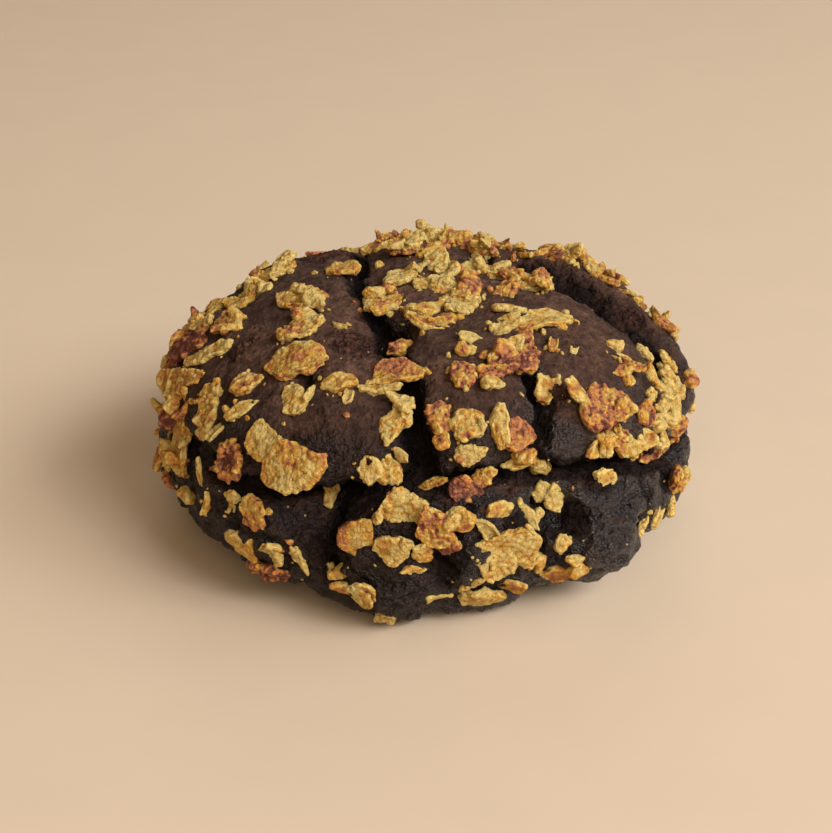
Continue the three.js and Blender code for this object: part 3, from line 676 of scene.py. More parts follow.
class Value:
    """The value of a shader socket, for plain arithmetic."""

    def __init__(self, graph, socket):
        self.graph = graph
        self.socket = socket

    def __add__(self, other):
        return self.graph.maths("ADD", self, other)

    def __sub__(self, other):
        return self.graph.maths("SUBTRACT", self, other)

    def __rsub__(self, other):
        return self.graph.maths("SUBTRACT", other, self)

    def __mul__(self, other):
        return self.graph.maths("MULTIPLY", self, other)


class Outputs:
    """The outputs of a shader node, by name or place."""

    def __init__(self, graph, node):
        self.graph = graph
        self.node = node

    def __getitem__(self, key):
        return Value(self.graph, self.node.outputs[key])


class Graph:
    """Adds nodes to a tree. Their inputs, by name or place, are values of other nodes or constants."""

    def __init__(self, tree):
        self.tree = tree

    def feed(self, node, inputs):
        for key, value in inputs.items():
            if isinstance(value, Value):
                self.tree.links.new(value.socket, node.inputs[key])
            else:
                node.inputs[key].default_value = value

    def add(self, kind, inputs, **settings):
        made = self.tree.nodes.new(kind)
        for key, value in settings.items():
            setattr(made, key, value)
        self.feed(made, inputs)
        return Outputs(self, made)

    def effect(self, name, **inputs):
        return self.add("ShaderNodeGroup", inputs, node_tree=shared_effect(name))

    def maths(self, operation, a, b, clamp=False):
        return self.add("ShaderNodeMath", {0: a, 1: b}, operation=operation, use_clamp=clamp)[0]

    def vector(self, operation, inputs):
        return self.add("ShaderNodeVectorMath", inputs, operation=operation)[0]

    def blend(self, factor, a, b, mode="MIX"):
        """Mixes two colours."""
        return self.add("ShaderNodeMix", {0: factor, 6: a, 7: b}, data_type="RGBA", blend_type=mode)[2]

    def spread(self, value, low, high, to_low=0.0, to_high=1.0, kind="SMOOTHSTEP"):
        """Maps a range of values to another, with soft ends."""
        ends = {"From Min": low, "From Max": high, "To Min": to_low, "To Max": to_high}
        return self.add("ShaderNodeMapRange", {"Value": value, **ends}, interpolation_type=kind)[0]

    def linear(self, value, low, high, to_low, to_high):
        """Maps a range of values to another, in a straight line."""
        return self.spread(value, low, high, to_low, to_high, "LINEAR")

    def noise(self, place, scale, detail, roughness=0.55):
        shape = {"Scale": scale, "Detail": detail, "Roughness": roughness}
        return self.add("ShaderNodeTexNoise", {"Vector": place, **shape})["Fac"]

    def voronoi(self, place, scale):
        return self.add("ShaderNodeTexVoronoi", {"Vector": place, "Scale": scale})

    def first_channel(self, colour):
        return self.add("ShaderNodeSeparateColor", {0: colour})[0]

    def bump(self, height, strength, distance):
        inputs = {"Height": height, "Strength": strength, "Distance": distance}
        return self.add("ShaderNodeBump", inputs)[0]

    def attribute(self, name):
        return self.add("ShaderNodeAttribute", {}, attribute_name=name)["Fac"]

    def place(self):
        return self.add("ShaderNodeTexCoord", {})["Object"]


def grain_effect(graph, given):
    """Fine grain with open pores: heights for a bump, and a mask of the pores."""
    fine = graph.noise(given["Place"], given["Grain"], 4.0, 0.65)
    coarse = graph.noise(given["Place"], given["Grain"] * 0.22, 3.0, 0.6)
    pore = graph.voronoi(given["Place"], given["Pores"])["Distance"]
    where = graph.noise(given["Place"], given["Pores"] * 0.3, 2.0)
    hole = graph.spread(pore, 0.12, 0.42, 1.0, 0.0) * graph.spread(where, 0.45, 0.7)
    hole = graph.maths("MULTIPLY", hole, given["Open"], clamp=True)
    return {"Height": fine * 0.55 + coarse * 0.9 - hole, "Pores": hole, "Mottle": coarse, "Fine": fine}


def toast_and_hollow_shade_effect(graph, given):
    """Toasts a flake in uneven patches, and paints shade by its relief: browner in its hollows, paler on
    its tips.
    """
    patch = graph.noise(given["Place"], given["Patches"], 3.0, 0.6)
    speck = graph.noise(given["Place"], given["Patches"] * 4.5, 2.0, 0.6)
    browned = given["Browning"] + graph.linear(patch, 0.3, 0.7, -0.36, 0.36)
    browned += graph.linear(speck, 0.3, 0.7, -0.10, 0.10)
    # Painted shade: browner in hollows, paler on tips.
    hollow = graph.linear(given["Raised"], 0.1, 0.9, 0.25, -0.22)
    browned = graph.maths("ADD", browned, hollow, clamp=True)
    colour = given["Pale"]
    for tone, starts, full in (("Golden", 0.05, 0.35), ("Orange", 0.38, 0.62), ("Brown", 0.66, 1.0)):
        colour = graph.blend(graph.spread(browned, starts, full), colour, given[tone])
    return {"Colour": colour, "Browned": browned}


def granules_effect(graph, given):
    """A surface of packed granules: heights for a bump, the gaps between granules, and a shade
    of its own for each granule."""
    place, size = given["Place"], given["Size"]
    bend = graph.add("ShaderNodeTexNoise", {"Vector": place, "Scale": size * 0.8})["Color"]
    centred = graph.vector("SUBTRACT", {0: bend, 1: (0.5, 0.5, 0.5)})
    stray = graph.vector("SCALE", {0: centred, "Scale": given["Stray"]})
    strayed = graph.vector("ADD", {0: place, 1: stray})
    large = graph.voronoi(strayed, size)
    wide = large["Distance"]
    small = graph.voronoi(strayed, size * 2.3)["Distance"]
    fuzz = graph.noise(place, given["Fuzz"], 2.0, 0.6)
    height = 1.0 - wide * wide * 1.5 - small * small * 0.7 + fuzz * 0.2
    small_gaps = graph.spread(small, 0.45, 0.85, 0.0, 0.7)
    gaps = graph.maths("MAXIMUM", graph.spread(wide, 0.35, 0.75), small_gaps)
    return {"Height": height, "Gaps": gaps, "Own": graph.first_channel(large["Color"])}


def dust_effect(graph, given):
    """Specks of crumb dust, thicker in some places than in others."""
    speck = graph.voronoi(given["Place"], given["Speck"])
    where = graph.noise(given["Place"], given["Patches"], 3.0, 0.6)
    amount = graph.spread(where, 0.4, 0.75) * given["Amount"]
    chosen = graph.maths("LESS_THAN", graph.first_channel(speck["Color"]), amount)
    return {"Dust": graph.spread(speck["Distance"], 0.18, 0.34, 1.0, 0.0) * chosen}


NUMBER = "NodeSocketFloat"
COLOUR = "NodeSocketColor"
PLACE = "NodeSocketVector"
WHITE = (1, 1, 1, 1)
TONES = ("Pale", "Golden", "Orange", "Brown")

# Each shared effect: what builds it, and its inputs with their defaults.
EFFECTS = {
    "Fine Grain": (grain_effect, {"Place": None, "Grain": 900.0, "Pores": 500.0, "Open": 0.3}),
    "Toasting And Hollow Shade": (
        toast_and_hollow_shade_effect,
        {"Place": None, **dict.fromkeys(TONES, WHITE), "Browning": 0.3, "Raised": 0.5, "Patches": 350.0},
    ),
    "Granules": (granules_effect, {"Place": None, "Size": 1500.0, "Fuzz": 5000.0, "Stray": 0.0005}),
    "Crumb Dust": (dust_effect, {"Place": None, "Speck": 1400.0, "Patches": 160.0, "Amount": 0.3}),
}


def shared_effect(name):
    """The node group of a shared effect, built at its first use."""
    if name in bpy.data.node_groups:
        return bpy.data.node_groups[name]
    build, defaults = EFFECTS[name]
    tree = bpy.data.node_groups.new(name, "ShaderNodeTree")
    for label, default in defaults.items():
        kind = PLACE if default is None else COLOUR if default == WHITE else NUMBER
        socket = tree.interface.new_socket(label, in_out="INPUT", socket_type=kind)
        if default is not None:
            socket.default_value = default
    graph = Graph(tree)
    results = build(graph, graph.add("NodeGroupInput", {}))
    for label in results:
        kind = COLOUR if label == "Colour" else NUMBER
        tree.interface.new_socket(label, in_out="OUTPUT", socket_type=kind)
    graph.add("NodeGroupOutput", results)
    return tree


def new_material(name):
    """A material with its graph and its Principled shader."""
    material = bpy.data.materials.new(name)
    material.use_nodes = True
    return material, Graph(material.node_tree), material.node_tree.nodes["Principled BSDF"]


def rgba(colour):
    return (*colour, 1.0)


def dough_material(settings):
    """Dry, finely grained crust that turns dark and wet in cracks and below the waist; that dark tone is
    partly painted shade, laid also on upright faces, and hollows, pores and crumb gaps get painted shade
    too.
    """
    material, graph, shader = new_material("Chocolate Dough")
    place = graph.place()
    sunk = graph.attribute("sunk")
    wetness_and_shade = graph.attribute("wetness_and_shade")
    torn = graph.attribute("torn")
    grain = graph.effect("Fine Grain", Place=place, Grain=1900.0, Pores=1000.0, Open=0.45)
    crumbs = graph.effect("Granules", Place=place, Size=1050.0, Fuzz=4200.0, Stray=0.0009)
    dust = graph.effect("Crumb Dust", Place=place, Speck=1500.0, Amount=0.012)
    patches = graph.noise(place, 140.0, 4.0, 0.6)
    open_crumb = graph.maths("MAXIMUM", torn, sunk)
    soft = graph.spread(wetness_and_shade, 0.2, 0.9, 0.1, 0.55)
    rough = graph.maths("MAXIMUM", graph.spread(open_crumb, 0.05, 0.6), soft)

    deep, light = rgba(settings.crust_deep), rgba(settings.crust)
    crust = graph.blend(graph.spread(patches, 0.35, 0.65), deep, light)
    colour = graph.blend(torn * 0.6, crust, rgba(settings.crumb))
    # The dark tone goes where the dough is marked dark and wet: partly wet dough, partly painted shade.
    colour = graph.blend(wetness_and_shade, colour, rgba(settings.wet_and_shaded))
    # Painted shade: darker down in cracks, the deeper the darker; the mottle is the crust's own uneven
    # tone.
    shade = graph.linear(grain["Mottle"], 0.3, 0.7, 0.72, 1.28) * graph.spread(sunk, 0.05, 0.9, 1.0, 0.7)
    # Darker on the low spots of the fine grain: partly dark speckle of the crust, partly painted shade of
    # its bumps.
    shade *= graph.linear(grain["Fine"], 0.35, 0.65, 0.66, 1.34)
    # Painted shade: darker inside the open pores.
    shade *= graph.spread(grain["Pores"], 0.0, 0.8, 1.0, 0.35)
    # Painted shade and light: darker in hollows, lighter on the tips that stand out.
    shade *= graph.linear(graph.attribute("raised"), 0.0, 1.0, 0.55, 1.3)
    # Painted shade: darker in the gaps between crumbs where the crust is torn, sunk or dark and wet.
    shade *= 1.0 - crumbs["Gaps"] * rough * 0.55
    colour = graph.blend(1.0, colour, shade, "MULTIPLY")
    colour = graph.blend(dust["Dust"], colour, (0.50, 0.33, 0.13, 1))

    dry = graph.spread(patches, 0.4, 0.7, 0.0, 0.3) + open_crumb * 0.6
    wet_and_shaded = graph.maths("SUBTRACT", wetness_and_shade, dry, clamp=True)
    matt = graph.linear(wet_and_shaded, 0.0, 1.0, 0.85, 0.55)
    matt += graph.linear(grain["Mottle"], 0.3, 0.7, 0.10, -0.06)
    # The coat is heavier towards +X, the side facing the lamps, to put sheen where their reflections
    # fall.
    across = graph.add("ShaderNodeSeparateXYZ", {"Vector": place})["X"]
    gloss = graph.spread(wet_and_shaded, 0.30, 0.75) * graph.spread(sunk, 0.2, 0.8, 1.0, 0.15)
    gloss *= graph.spread(across, -0.012, 0.026, 0.30, 1.0)
    relief = graph.bump(crumbs["Height"] * rough * 0.8 + grain["Height"], 1.0, 0.0009)
    graph.feed(shader, {"Base Color": colour, "Roughness": matt, "Normal": relief})
    graph.feed(shader, {"Specular IOR Level": 0.20, "Specular Tint": (1.0, 0.88, 0.84, 1)})
    graph.feed(shader, {"Coat Weight": gloss, "Coat Roughness": 0.19, "Coat Normal": relief})
    return material


def flake_material(name, settings, browning):
    """A toasted flake of one tone: attributes give each flake and each blister its own tone, and its
    relief and granule gaps set painted shade.
    """
    material, graph, shader = new_material(name)
    place = graph.place()
    raised = graph.attribute("raised")
    granules = graph.effect("Granules", Place=place, Size=1500.0, Fuzz=6000.0)
    own = graph.attribute("browning") + browning
    own += graph.linear(granules["Own"], 0.0, 1.0, -0.05, 0.05)
    # Painted warm shade: browner between granules and in hollows.
    own += graph.linear(granules["Gaps"], 0.0, 1.0, -0.03, 0.05)
    own += graph.spread(raised, 0.0, 0.6, 0.07, -0.02)
    tones = {tone: rgba(getattr(settings, tone.lower())) for tone in TONES}
    toast = graph.effect("Toasting And Hollow Shade", Place=place, Browning=own, Raised=raised, Patches=320.0, **tones)
    # Painted shade: darker between granules and in hollows, lighter on tips; each granule also has its
    # own tone.
    shade = graph.linear(granules["Gaps"], 0.0, 1.0, 1.07, 0.88)
    shade *= graph.linear(granules["Own"], 0.0, 1.0, 1.10, 0.90)
    shade *= graph.linear(raised, 0.0, 1.0, 0.70, 1.14)
    colour = graph.blend(1.0, toast["Colour"], shade, "MULTIPLY")
    matt = graph.linear(toast["Browned"], 0.0, 1.0, 0.72, 0.6)
    relief = graph.bump(granules["Height"], 0.8, 0.00028)
    graph.feed(shader, {"Base Color": colour, "Roughness": matt, "Normal": relief})
    graph.feed(shader, {"Specular IOR Level": 0.3, "Subsurface Weight": 0.36, "Subsurface Scale": 1.0})
    graph.feed(shader, {"Subsurface Radius": (0.0012, 0.0006, 0.0002)})
    return material


def floor_material(colour):
    material, graph, shader = new_material("Warm Table")
    grain = graph.effect("Fine Grain", Place=graph.place(), Grain=260.0, Pores=90.0, Open=0.0)
    tint = graph.linear(grain["Mottle"], 0.2, 0.8, 0.985, 1.015)
    tone = graph.blend(1.0, rgba(colour), tint, "MULTIPLY")
    matt = graph.linear(grain["Mottle"], 0.2, 0.8, 0.6, 0.7)
    relief = graph.bump(grain["Height"], 0.05, 0.0002)
    graph.feed(shader, {"Base Color": tone, "Roughness": matt, "Normal": relief})
    return material


# Each tone of flake: its material, how brown it is, and how many of its small flakes are heaps.
FLAKE_TONES = {
    "flake_pale": ("Pale Flake", 0.12, 0.45),
    "flake_golden": ("Golden Flake", 0.34, 0.55),
    "flake_toasted": ("Toasted Flake", 0.64, 0.8),
}


def material_for(slot):
    name, browning, _ = FLAKE_TONES[slot]
    settings = bpy.context.scene.cookie_flakes
    return bpy.data.materials.get(name) or flake_material(name, settings, browning)


# ---- Flakes.

# Outlines of small flakes: how much one narrows to an end and to both ends, and how square it is.
FORMS = {
    "leaf": (0.1, 0.7, 2.0),
    "wedge": (0.5, 0.1, 2.4),
    "strip": (0.1, 0.0, 3.0),
    "shard": (0.25, 0.2, 2.4),
}
OUTLINE_POINTS = 44
RINGS = (0.3, 0.62, 0.86, 1.0)
RIM_THINNING = 0.6

# Nuggets stuck on: the surface that one takes up, and the least and the largest size.
HEAP_NUGGETS = (0.8, 0.6, 1.9)
RIM_NUGGETS = (1.3, 0.35, 0.8)
NUGGET_DEPTH = 0.22
NUGGET_KINDS = 12
NUGGET_SEED = 900

# How wide blisters are, and how far a tip stands out of its surroundings.
BLISTER = 1.15
SMALL_BLISTER = 0.62
RELIEF = 0.16

# Spare flakes: length, width, thickness and edge of the net.
BLANK_SIZES = {"small": (2.9, 2.0, 0.75, 0.25), "medium": (5.2, 3.3, 0.85, 0.30)}
BLANK_SEED = 300


def wafer(length, width, form, thickness, bend, cup, seed):
    """A thin closed wafer lying flat, long axis along X, with a ragged outline and a gentle curl."""
    taper, point, corner = FORMS[form]
    angle = 2 * np.pi * np.arange(OUTLINE_POINTS) / OUTLINE_POINTS
    c, s = np.cos(angle), np.sin(angle)
    full = (np.abs(c) ** corner + np.abs(s) ** corner) ** (-1 / corner)
    ring = np.stack([c, s, np.zeros_like(c)], axis=1)
    uneven = full * (1 + 0.20 * noise(ring, 0.9, seed) + 0.12 * noise(ring, 0.35, seed + 5))
    narrowing = (1 - point * (c * full) ** 2) * (1 - taper * c)
    rim = np.stack([c * uneven * length / 2, s * uneven * narrowing * width / 2], axis=1)
    rings = [rim * share for share in RINGS]
    flat = np.concatenate([np.zeros((1, 2)), *rings])
    lift = bend * (2 * flat[:, 0] / length) ** 2 + cup * (2 * flat[:, 1] / width) ** 2
    lift += 0.12 * width * noise(np.column_stack([flat, np.zeros(len(flat))]), 0.45 * length, seed + 9)
    half = np.full(len(flat), thickness / 2)
    half[-OUTLINE_POINTS:] *= RIM_THINNING
    points = np.concatenate([np.column_stack([flat, lift + half]), np.column_stack([flat, lift - half])])
    layer = len(flat)
    last = layer - OUTLINE_POINTS
    i = np.arange(OUTLINE_POINTS)
    j = (i + 1) % OUTLINE_POINTS
    fans = [np.stack([0 * i, 1 + i, 1 + j], axis=1)]
    for first in range(1, last, OUTLINE_POINTS):
        outer = first + OUTLINE_POINTS
        fans += halves(first + i, outer + i, outer + j, first + j)
    top = np.stack(fans, axis=1).reshape(-1, 3)
    bottom = top[:, ::-1] + layer
    side = halves(last + i, last + layer + i, last + layer + j, last + j)
    return points, np.concatenate([top, bottom, *side])


def unit(vector):
    return vector / np.linalg.norm(vector)


def facings(corners):
    """For each triangle a vector square to it, as long as twice its area."""
    return np.cross(corners[:, 1] - corners[:, 0], corners[:, 2] - corners[:, 0])


def make_nuggets():
    """A few angular lumps about a millimetre across, each as points and faces."""
    nuggets = []
    ball, faces = icosphere(rounds=2)
    for kind in range(NUGGET_KINDS):
        rng = np.random.default_rng(NUGGET_SEED + kind)
        facets = rng.normal(size=(8, 3))
        facets /= np.linalg.norm(facets, axis=1)[:, None]
        radius = 0.5 * np.minimum(1.0, 0.74 / np.max(ball @ facets.T, axis=1))
        radius *= 1 + 0.3 * layered(ball + 5 * kind, 1.0, 2, kind)
        nuggets.append((ball * radius[:, None], faces))
    return nuggets


def random_axes(rng):
    axes = np.linalg.qr(rng.normal(size=(3, 3)))[0]
    return axes * np.sign(np.linalg.det(axes))


def crusted(points, faces, chosen, count, low, high, nuggets, rng):
    """The solid with nuggets stuck over the chosen faces, and the middle of each nugget."""
    corners = points[faces[chosen]]
    across = facings(corners)
    area = np.linalg.norm(across, axis=1)
    picks = rng.choice(len(area), count, p=area / area.sum())
    all_points, all_faces, middles = [points], [faces], []
    total = len(points)
    for pick in picks:
        u, v = rng.random(2)
        if u + v > 1:
            u, v = 1 - u, 1 - v
        a, b, c = corners[pick]
        size = low + (high - low) * rng.random() ** 1.6
        middle = a + u * (b - a) + v * (c - a) - NUGGET_DEPTH * size * across[pick] / area[pick]
        own, own_faces = nuggets[rng.integers(len(nuggets))]
        stretched = own * size * rng.uniform(0.7, 1.25, 3)
        all_points.append(stretched @ random_axes(rng).T + middle)
        all_faces.append(own_faces + total)
        total += len(own)
        middles.append(middle)
    return np.concatenate(all_points), np.concatenate(all_faces), np.array(middles)


def broken(points, thin, rng, shard):
    """Points of a flake with a few straight breaks across its outline: fewer and deeper in a shard."""
    middle = points.mean(axis=0)
    start = rng.uniform(0, 2 * np.pi)
    along = unit(np.cross(thin, rng.normal(size=3)))
    across = np.cross(thin, along)
    breaks = rng.integers(3, 6) if shard else rng.integers(4, 7)
    least_kept = 0.56 if shard else 0.80
    for i in range(breaks):
        angle = start + 2 * np.pi * (i + rng.uniform(-0.3, 0.3)) / breaks
        facing = math.cos(angle) * along + math.sin(angle) * across
        reach = (points - middle) @ facing
        limit = np.quantile(reach, 0.998) * rng.uniform(least_kept, 0.97)
        points = points - np.outer(np.maximum(reach - limit, 0), facing)
    return points


def thin_axis(points):
    return np.linalg.svd(points - points.mean(axis=0), full_matrices=False)[2][2]


ANY_SLANT = (0.31, 0.87, 0.38)
RIM_SECTORS = 48


def rim_share(points, thin):
    """How near each point of a flat flake is to its rim: 0 in the middle, 1 at the rim."""
    flat = points - points.mean(axis=0)
    flat = flat - np.outer(flat @ thin, thin)
    along = unit(np.cross(thin, ANY_SLANT))
    angle = np.arctan2(flat @ np.cross(thin, along), flat @ along)
    reach = np.linalg.norm(flat, axis=1)
    sector = ((angle / np.pi + 1) * RIM_SECTORS / 2).astype(int) % RIM_SECTORS
    widest = np.zeros(RIM_SECTORS)
    np.maximum.at(widest, sector, reach)
    widest = np.maximum(widest, 0.5 * (np.roll(widest, 1) + np.roll(widest, -1)))
    return reach / np.maximum(widest[sector], 1e-6)


def toasted_skin(points, faces, net, ragged, blister, crumbly, nuggets, seed, frayed=1.0, shard=False):
    """The finished skin of a flake from its plain solid: frayed and blistered, or heaped with
    nuggets. Returns points, faces, and from 0 to 1 how far each point stands up, the shade of
    the blister or the nugget it belongs to, and how near it is to the rim."""
    rng = np.random.default_rng(seed)
    middle = points.mean(axis=0)
    thin = thin_axis(points)
    corners = points[faces]
    across = facings(corners)
    area = np.linalg.norm(across, axis=1) / 2
    if crumbly:
        core = points - middle
        core = 0.84 * core - 0.25 * np.outer(core @ thin, thin) + middle
        share, *sizes = HEAP_NUGGETS
        count = int(area.sum() / share)
        every = np.arange(len(faces))
        points, faces, middles = crusted(core, faces, every, count, *sizes, nuggets, rng)
    else:
        share, *sizes = RIM_NUGGETS
        edge = np.flatnonzero(np.abs(across @ thin) < area)
        count = int(frayed * area[edge].sum() / share) + 1
        points, faces, _ = crusted(points, faces, edge, count, *sizes, nuggets, rng)
    points, faces = even_net(points, faces, net)
    stray = 0.5 * drift(points, 2.6, 1, seed) + 0.7 * drift(points, 1.0, 2, seed + 60)
    stray += 0.4 * drift(points, 0.55, 1, seed + 90)
    if not crumbly:
        points = broken(points, thin, rng, shard)
        stray -= 0.75 * np.outer(stray @ thin, thin)
    points = points + ragged * stray
    normals = point_normals(points, faces)
    distance, _, own = cells(points, BLISTER, seed + 3)
    small, _, _ = cells(points, SMALL_BLISTER, seed + 4)
    height = (0.3 if crumbly else 1.0) * (domes(distance) - 0.6) + 0.6 * (domes(small) - 0.6)
    height += 0.4 * layered(points, 2.4, 2, seed + 7)
    points = points + normals * (blister * height)[:, None]
    if crumbly:
        gaps = np.linalg.norm(points[:, None, :] - middles[None, :, :], axis=2)
        own = rng.random(len(middles))[np.argmin(gaps, axis=1)]
        rim = np.zeros(len(points))
    else:
        rim = smoothstep(rim_share(points, thin), 0.72, 1.0)
    return points, faces, standing_up(points, faces, RELIEF), own, rim


def standing_up(points, faces, scale):
    """How far each point stands out of its surroundings: 0 in hollows, 1 on tips."""
    normals = point_normals(points, faces)
    out = np.sum((points - relaxed(points, faces, 8)) * normals, axis=1)
    return np.clip(0.5 + 0.5 * out / scale, 0, 1)


def make_blank_flakes(settings):
    """Spare flakes and chunks in several forms, to be laid many times: a list for each size."""
    blanks = {}
    seed = BLANK_SEED
    nuggets = make_nuggets()
    for size, (length, width, thickness, net) in BLANK_SIZES.items():
        for crumbly in (False, True):
            made = []
            for form in FORMS:
                for turn in range(2):
                    seed += 11
                    ratio = 0.8 + 0.4 * scramble(np.array([[seed, 1, 1]]), 5)[0]
                    thick = thickness * (1.9 if crumbly else 1.0)
                    cup = (0.5 - turn) * 0.9 * (0.4 if crumbly else 1)
                    raw = wafer(length, width * ratio, form, thick, 0.3, cup, seed)
                    amount = settings.ragged / MM * (0.6 if size == "small" else 0.9)
                    bumps = settings.blister / MM * 0.8
                    skin = toasted_skin(*raw, net, amount, bumps, crumbly, nuggets, seed, shard=True)
                    made.append(skin)
            blanks[size, crumbly] = made
    return blanks


def laying_frame(direction, turn, lean, lean_about):
    """Axes of a flake laid flat on the dough at a direction, then leaned over: as columns."""
    east = np.cross([0.0, 0.0, 1.0], direction)
    east /= max(np.linalg.norm(east), 1e-6)
    nudge = 0.02
    above = unit(direction + nudge * np.cross(direction, east))
    slope = plain_point(above) - plain_point(direction)
    outwards = unit(np.cross(east, slope))
    north = np.cross(outwards, east)
    a = math.radians(turn)
    along = math.cos(a) * east + math.sin(a) * north
    across = np.cross(outwards, along)
    tip, side = math.cos(lean_about), math.sin(lean_about)
    lean_axis = tip * along + side * across
    t = math.radians(lean)

    def leaned(v):
        turned = v * math.cos(t) + np.cross(lean_axis, v) * math.sin(t)
        return turned + lean_axis * (lean_axis @ v) * (1 - math.cos(t))

    return np.stack([leaned(along), leaned(across), leaned(outwards)], axis=1)


class Ground:
    """What new flakes are laid on: the dough, with or without the flakes already on it."""

    OUTSIDE = 90.0
    BACK_OFF = 6.0
    REACH = 30.0

    def __init__(self, pieces):
        pile = Pile()
        for piece in pieces:
            points, faces = mesh_arrays(piece.data)
            pile.add(points / MM, faces)
        self.tree = BVHTree.FromPolygons(
            np.concatenate(pile.points).tolist(), np.concatenate(pile.faces).tolist(), all_triangles=True
        )

    def height(self, direction):
        """Distance from the middle to the outermost surface in a direction."""
        start = Vector(MIDDLE + self.OUTSIDE * direction)
        hit, _, _, distance = self.tree.ray_cast(start, Vector(-direction), self.OUTSIDE)
        if hit is None:
            raise RuntimeError(f"no dough in direction {direction}")
        return self.OUTSIDE - distance

    def clearance(self, points, towards, probes):
        """How far some of the points can each move in a direction before they meet the ground."""
        found = []
        for point in points[:: max(1, len(points) // probes)]:
            start = Vector(point - self.BACK_OFF * towards)
            hit, _, _, distance = self.tree.ray_cast(start, Vector(towards), self.REACH)
            if hit is not None:
                found.append(distance - self.BACK_OFF)
        return np.array(found)


def required(name):
    piece = bpy.data.objects.get(name)
    if piece is None:
        raise RuntimeError(f"{name} isn't there yet: run its operator first")
    return piece


# ---- Operators.

# Scattered bits and crumbs go down to this sine of the elevation.
LOWEST_SINE = -0.42


def random_elevation(rng):
    """An elevation for a scattered bit or crumb, spread evenly over the skin."""
    return math.degrees(math.asin(rng.uniform(LOWEST_SINE, 1.0)))


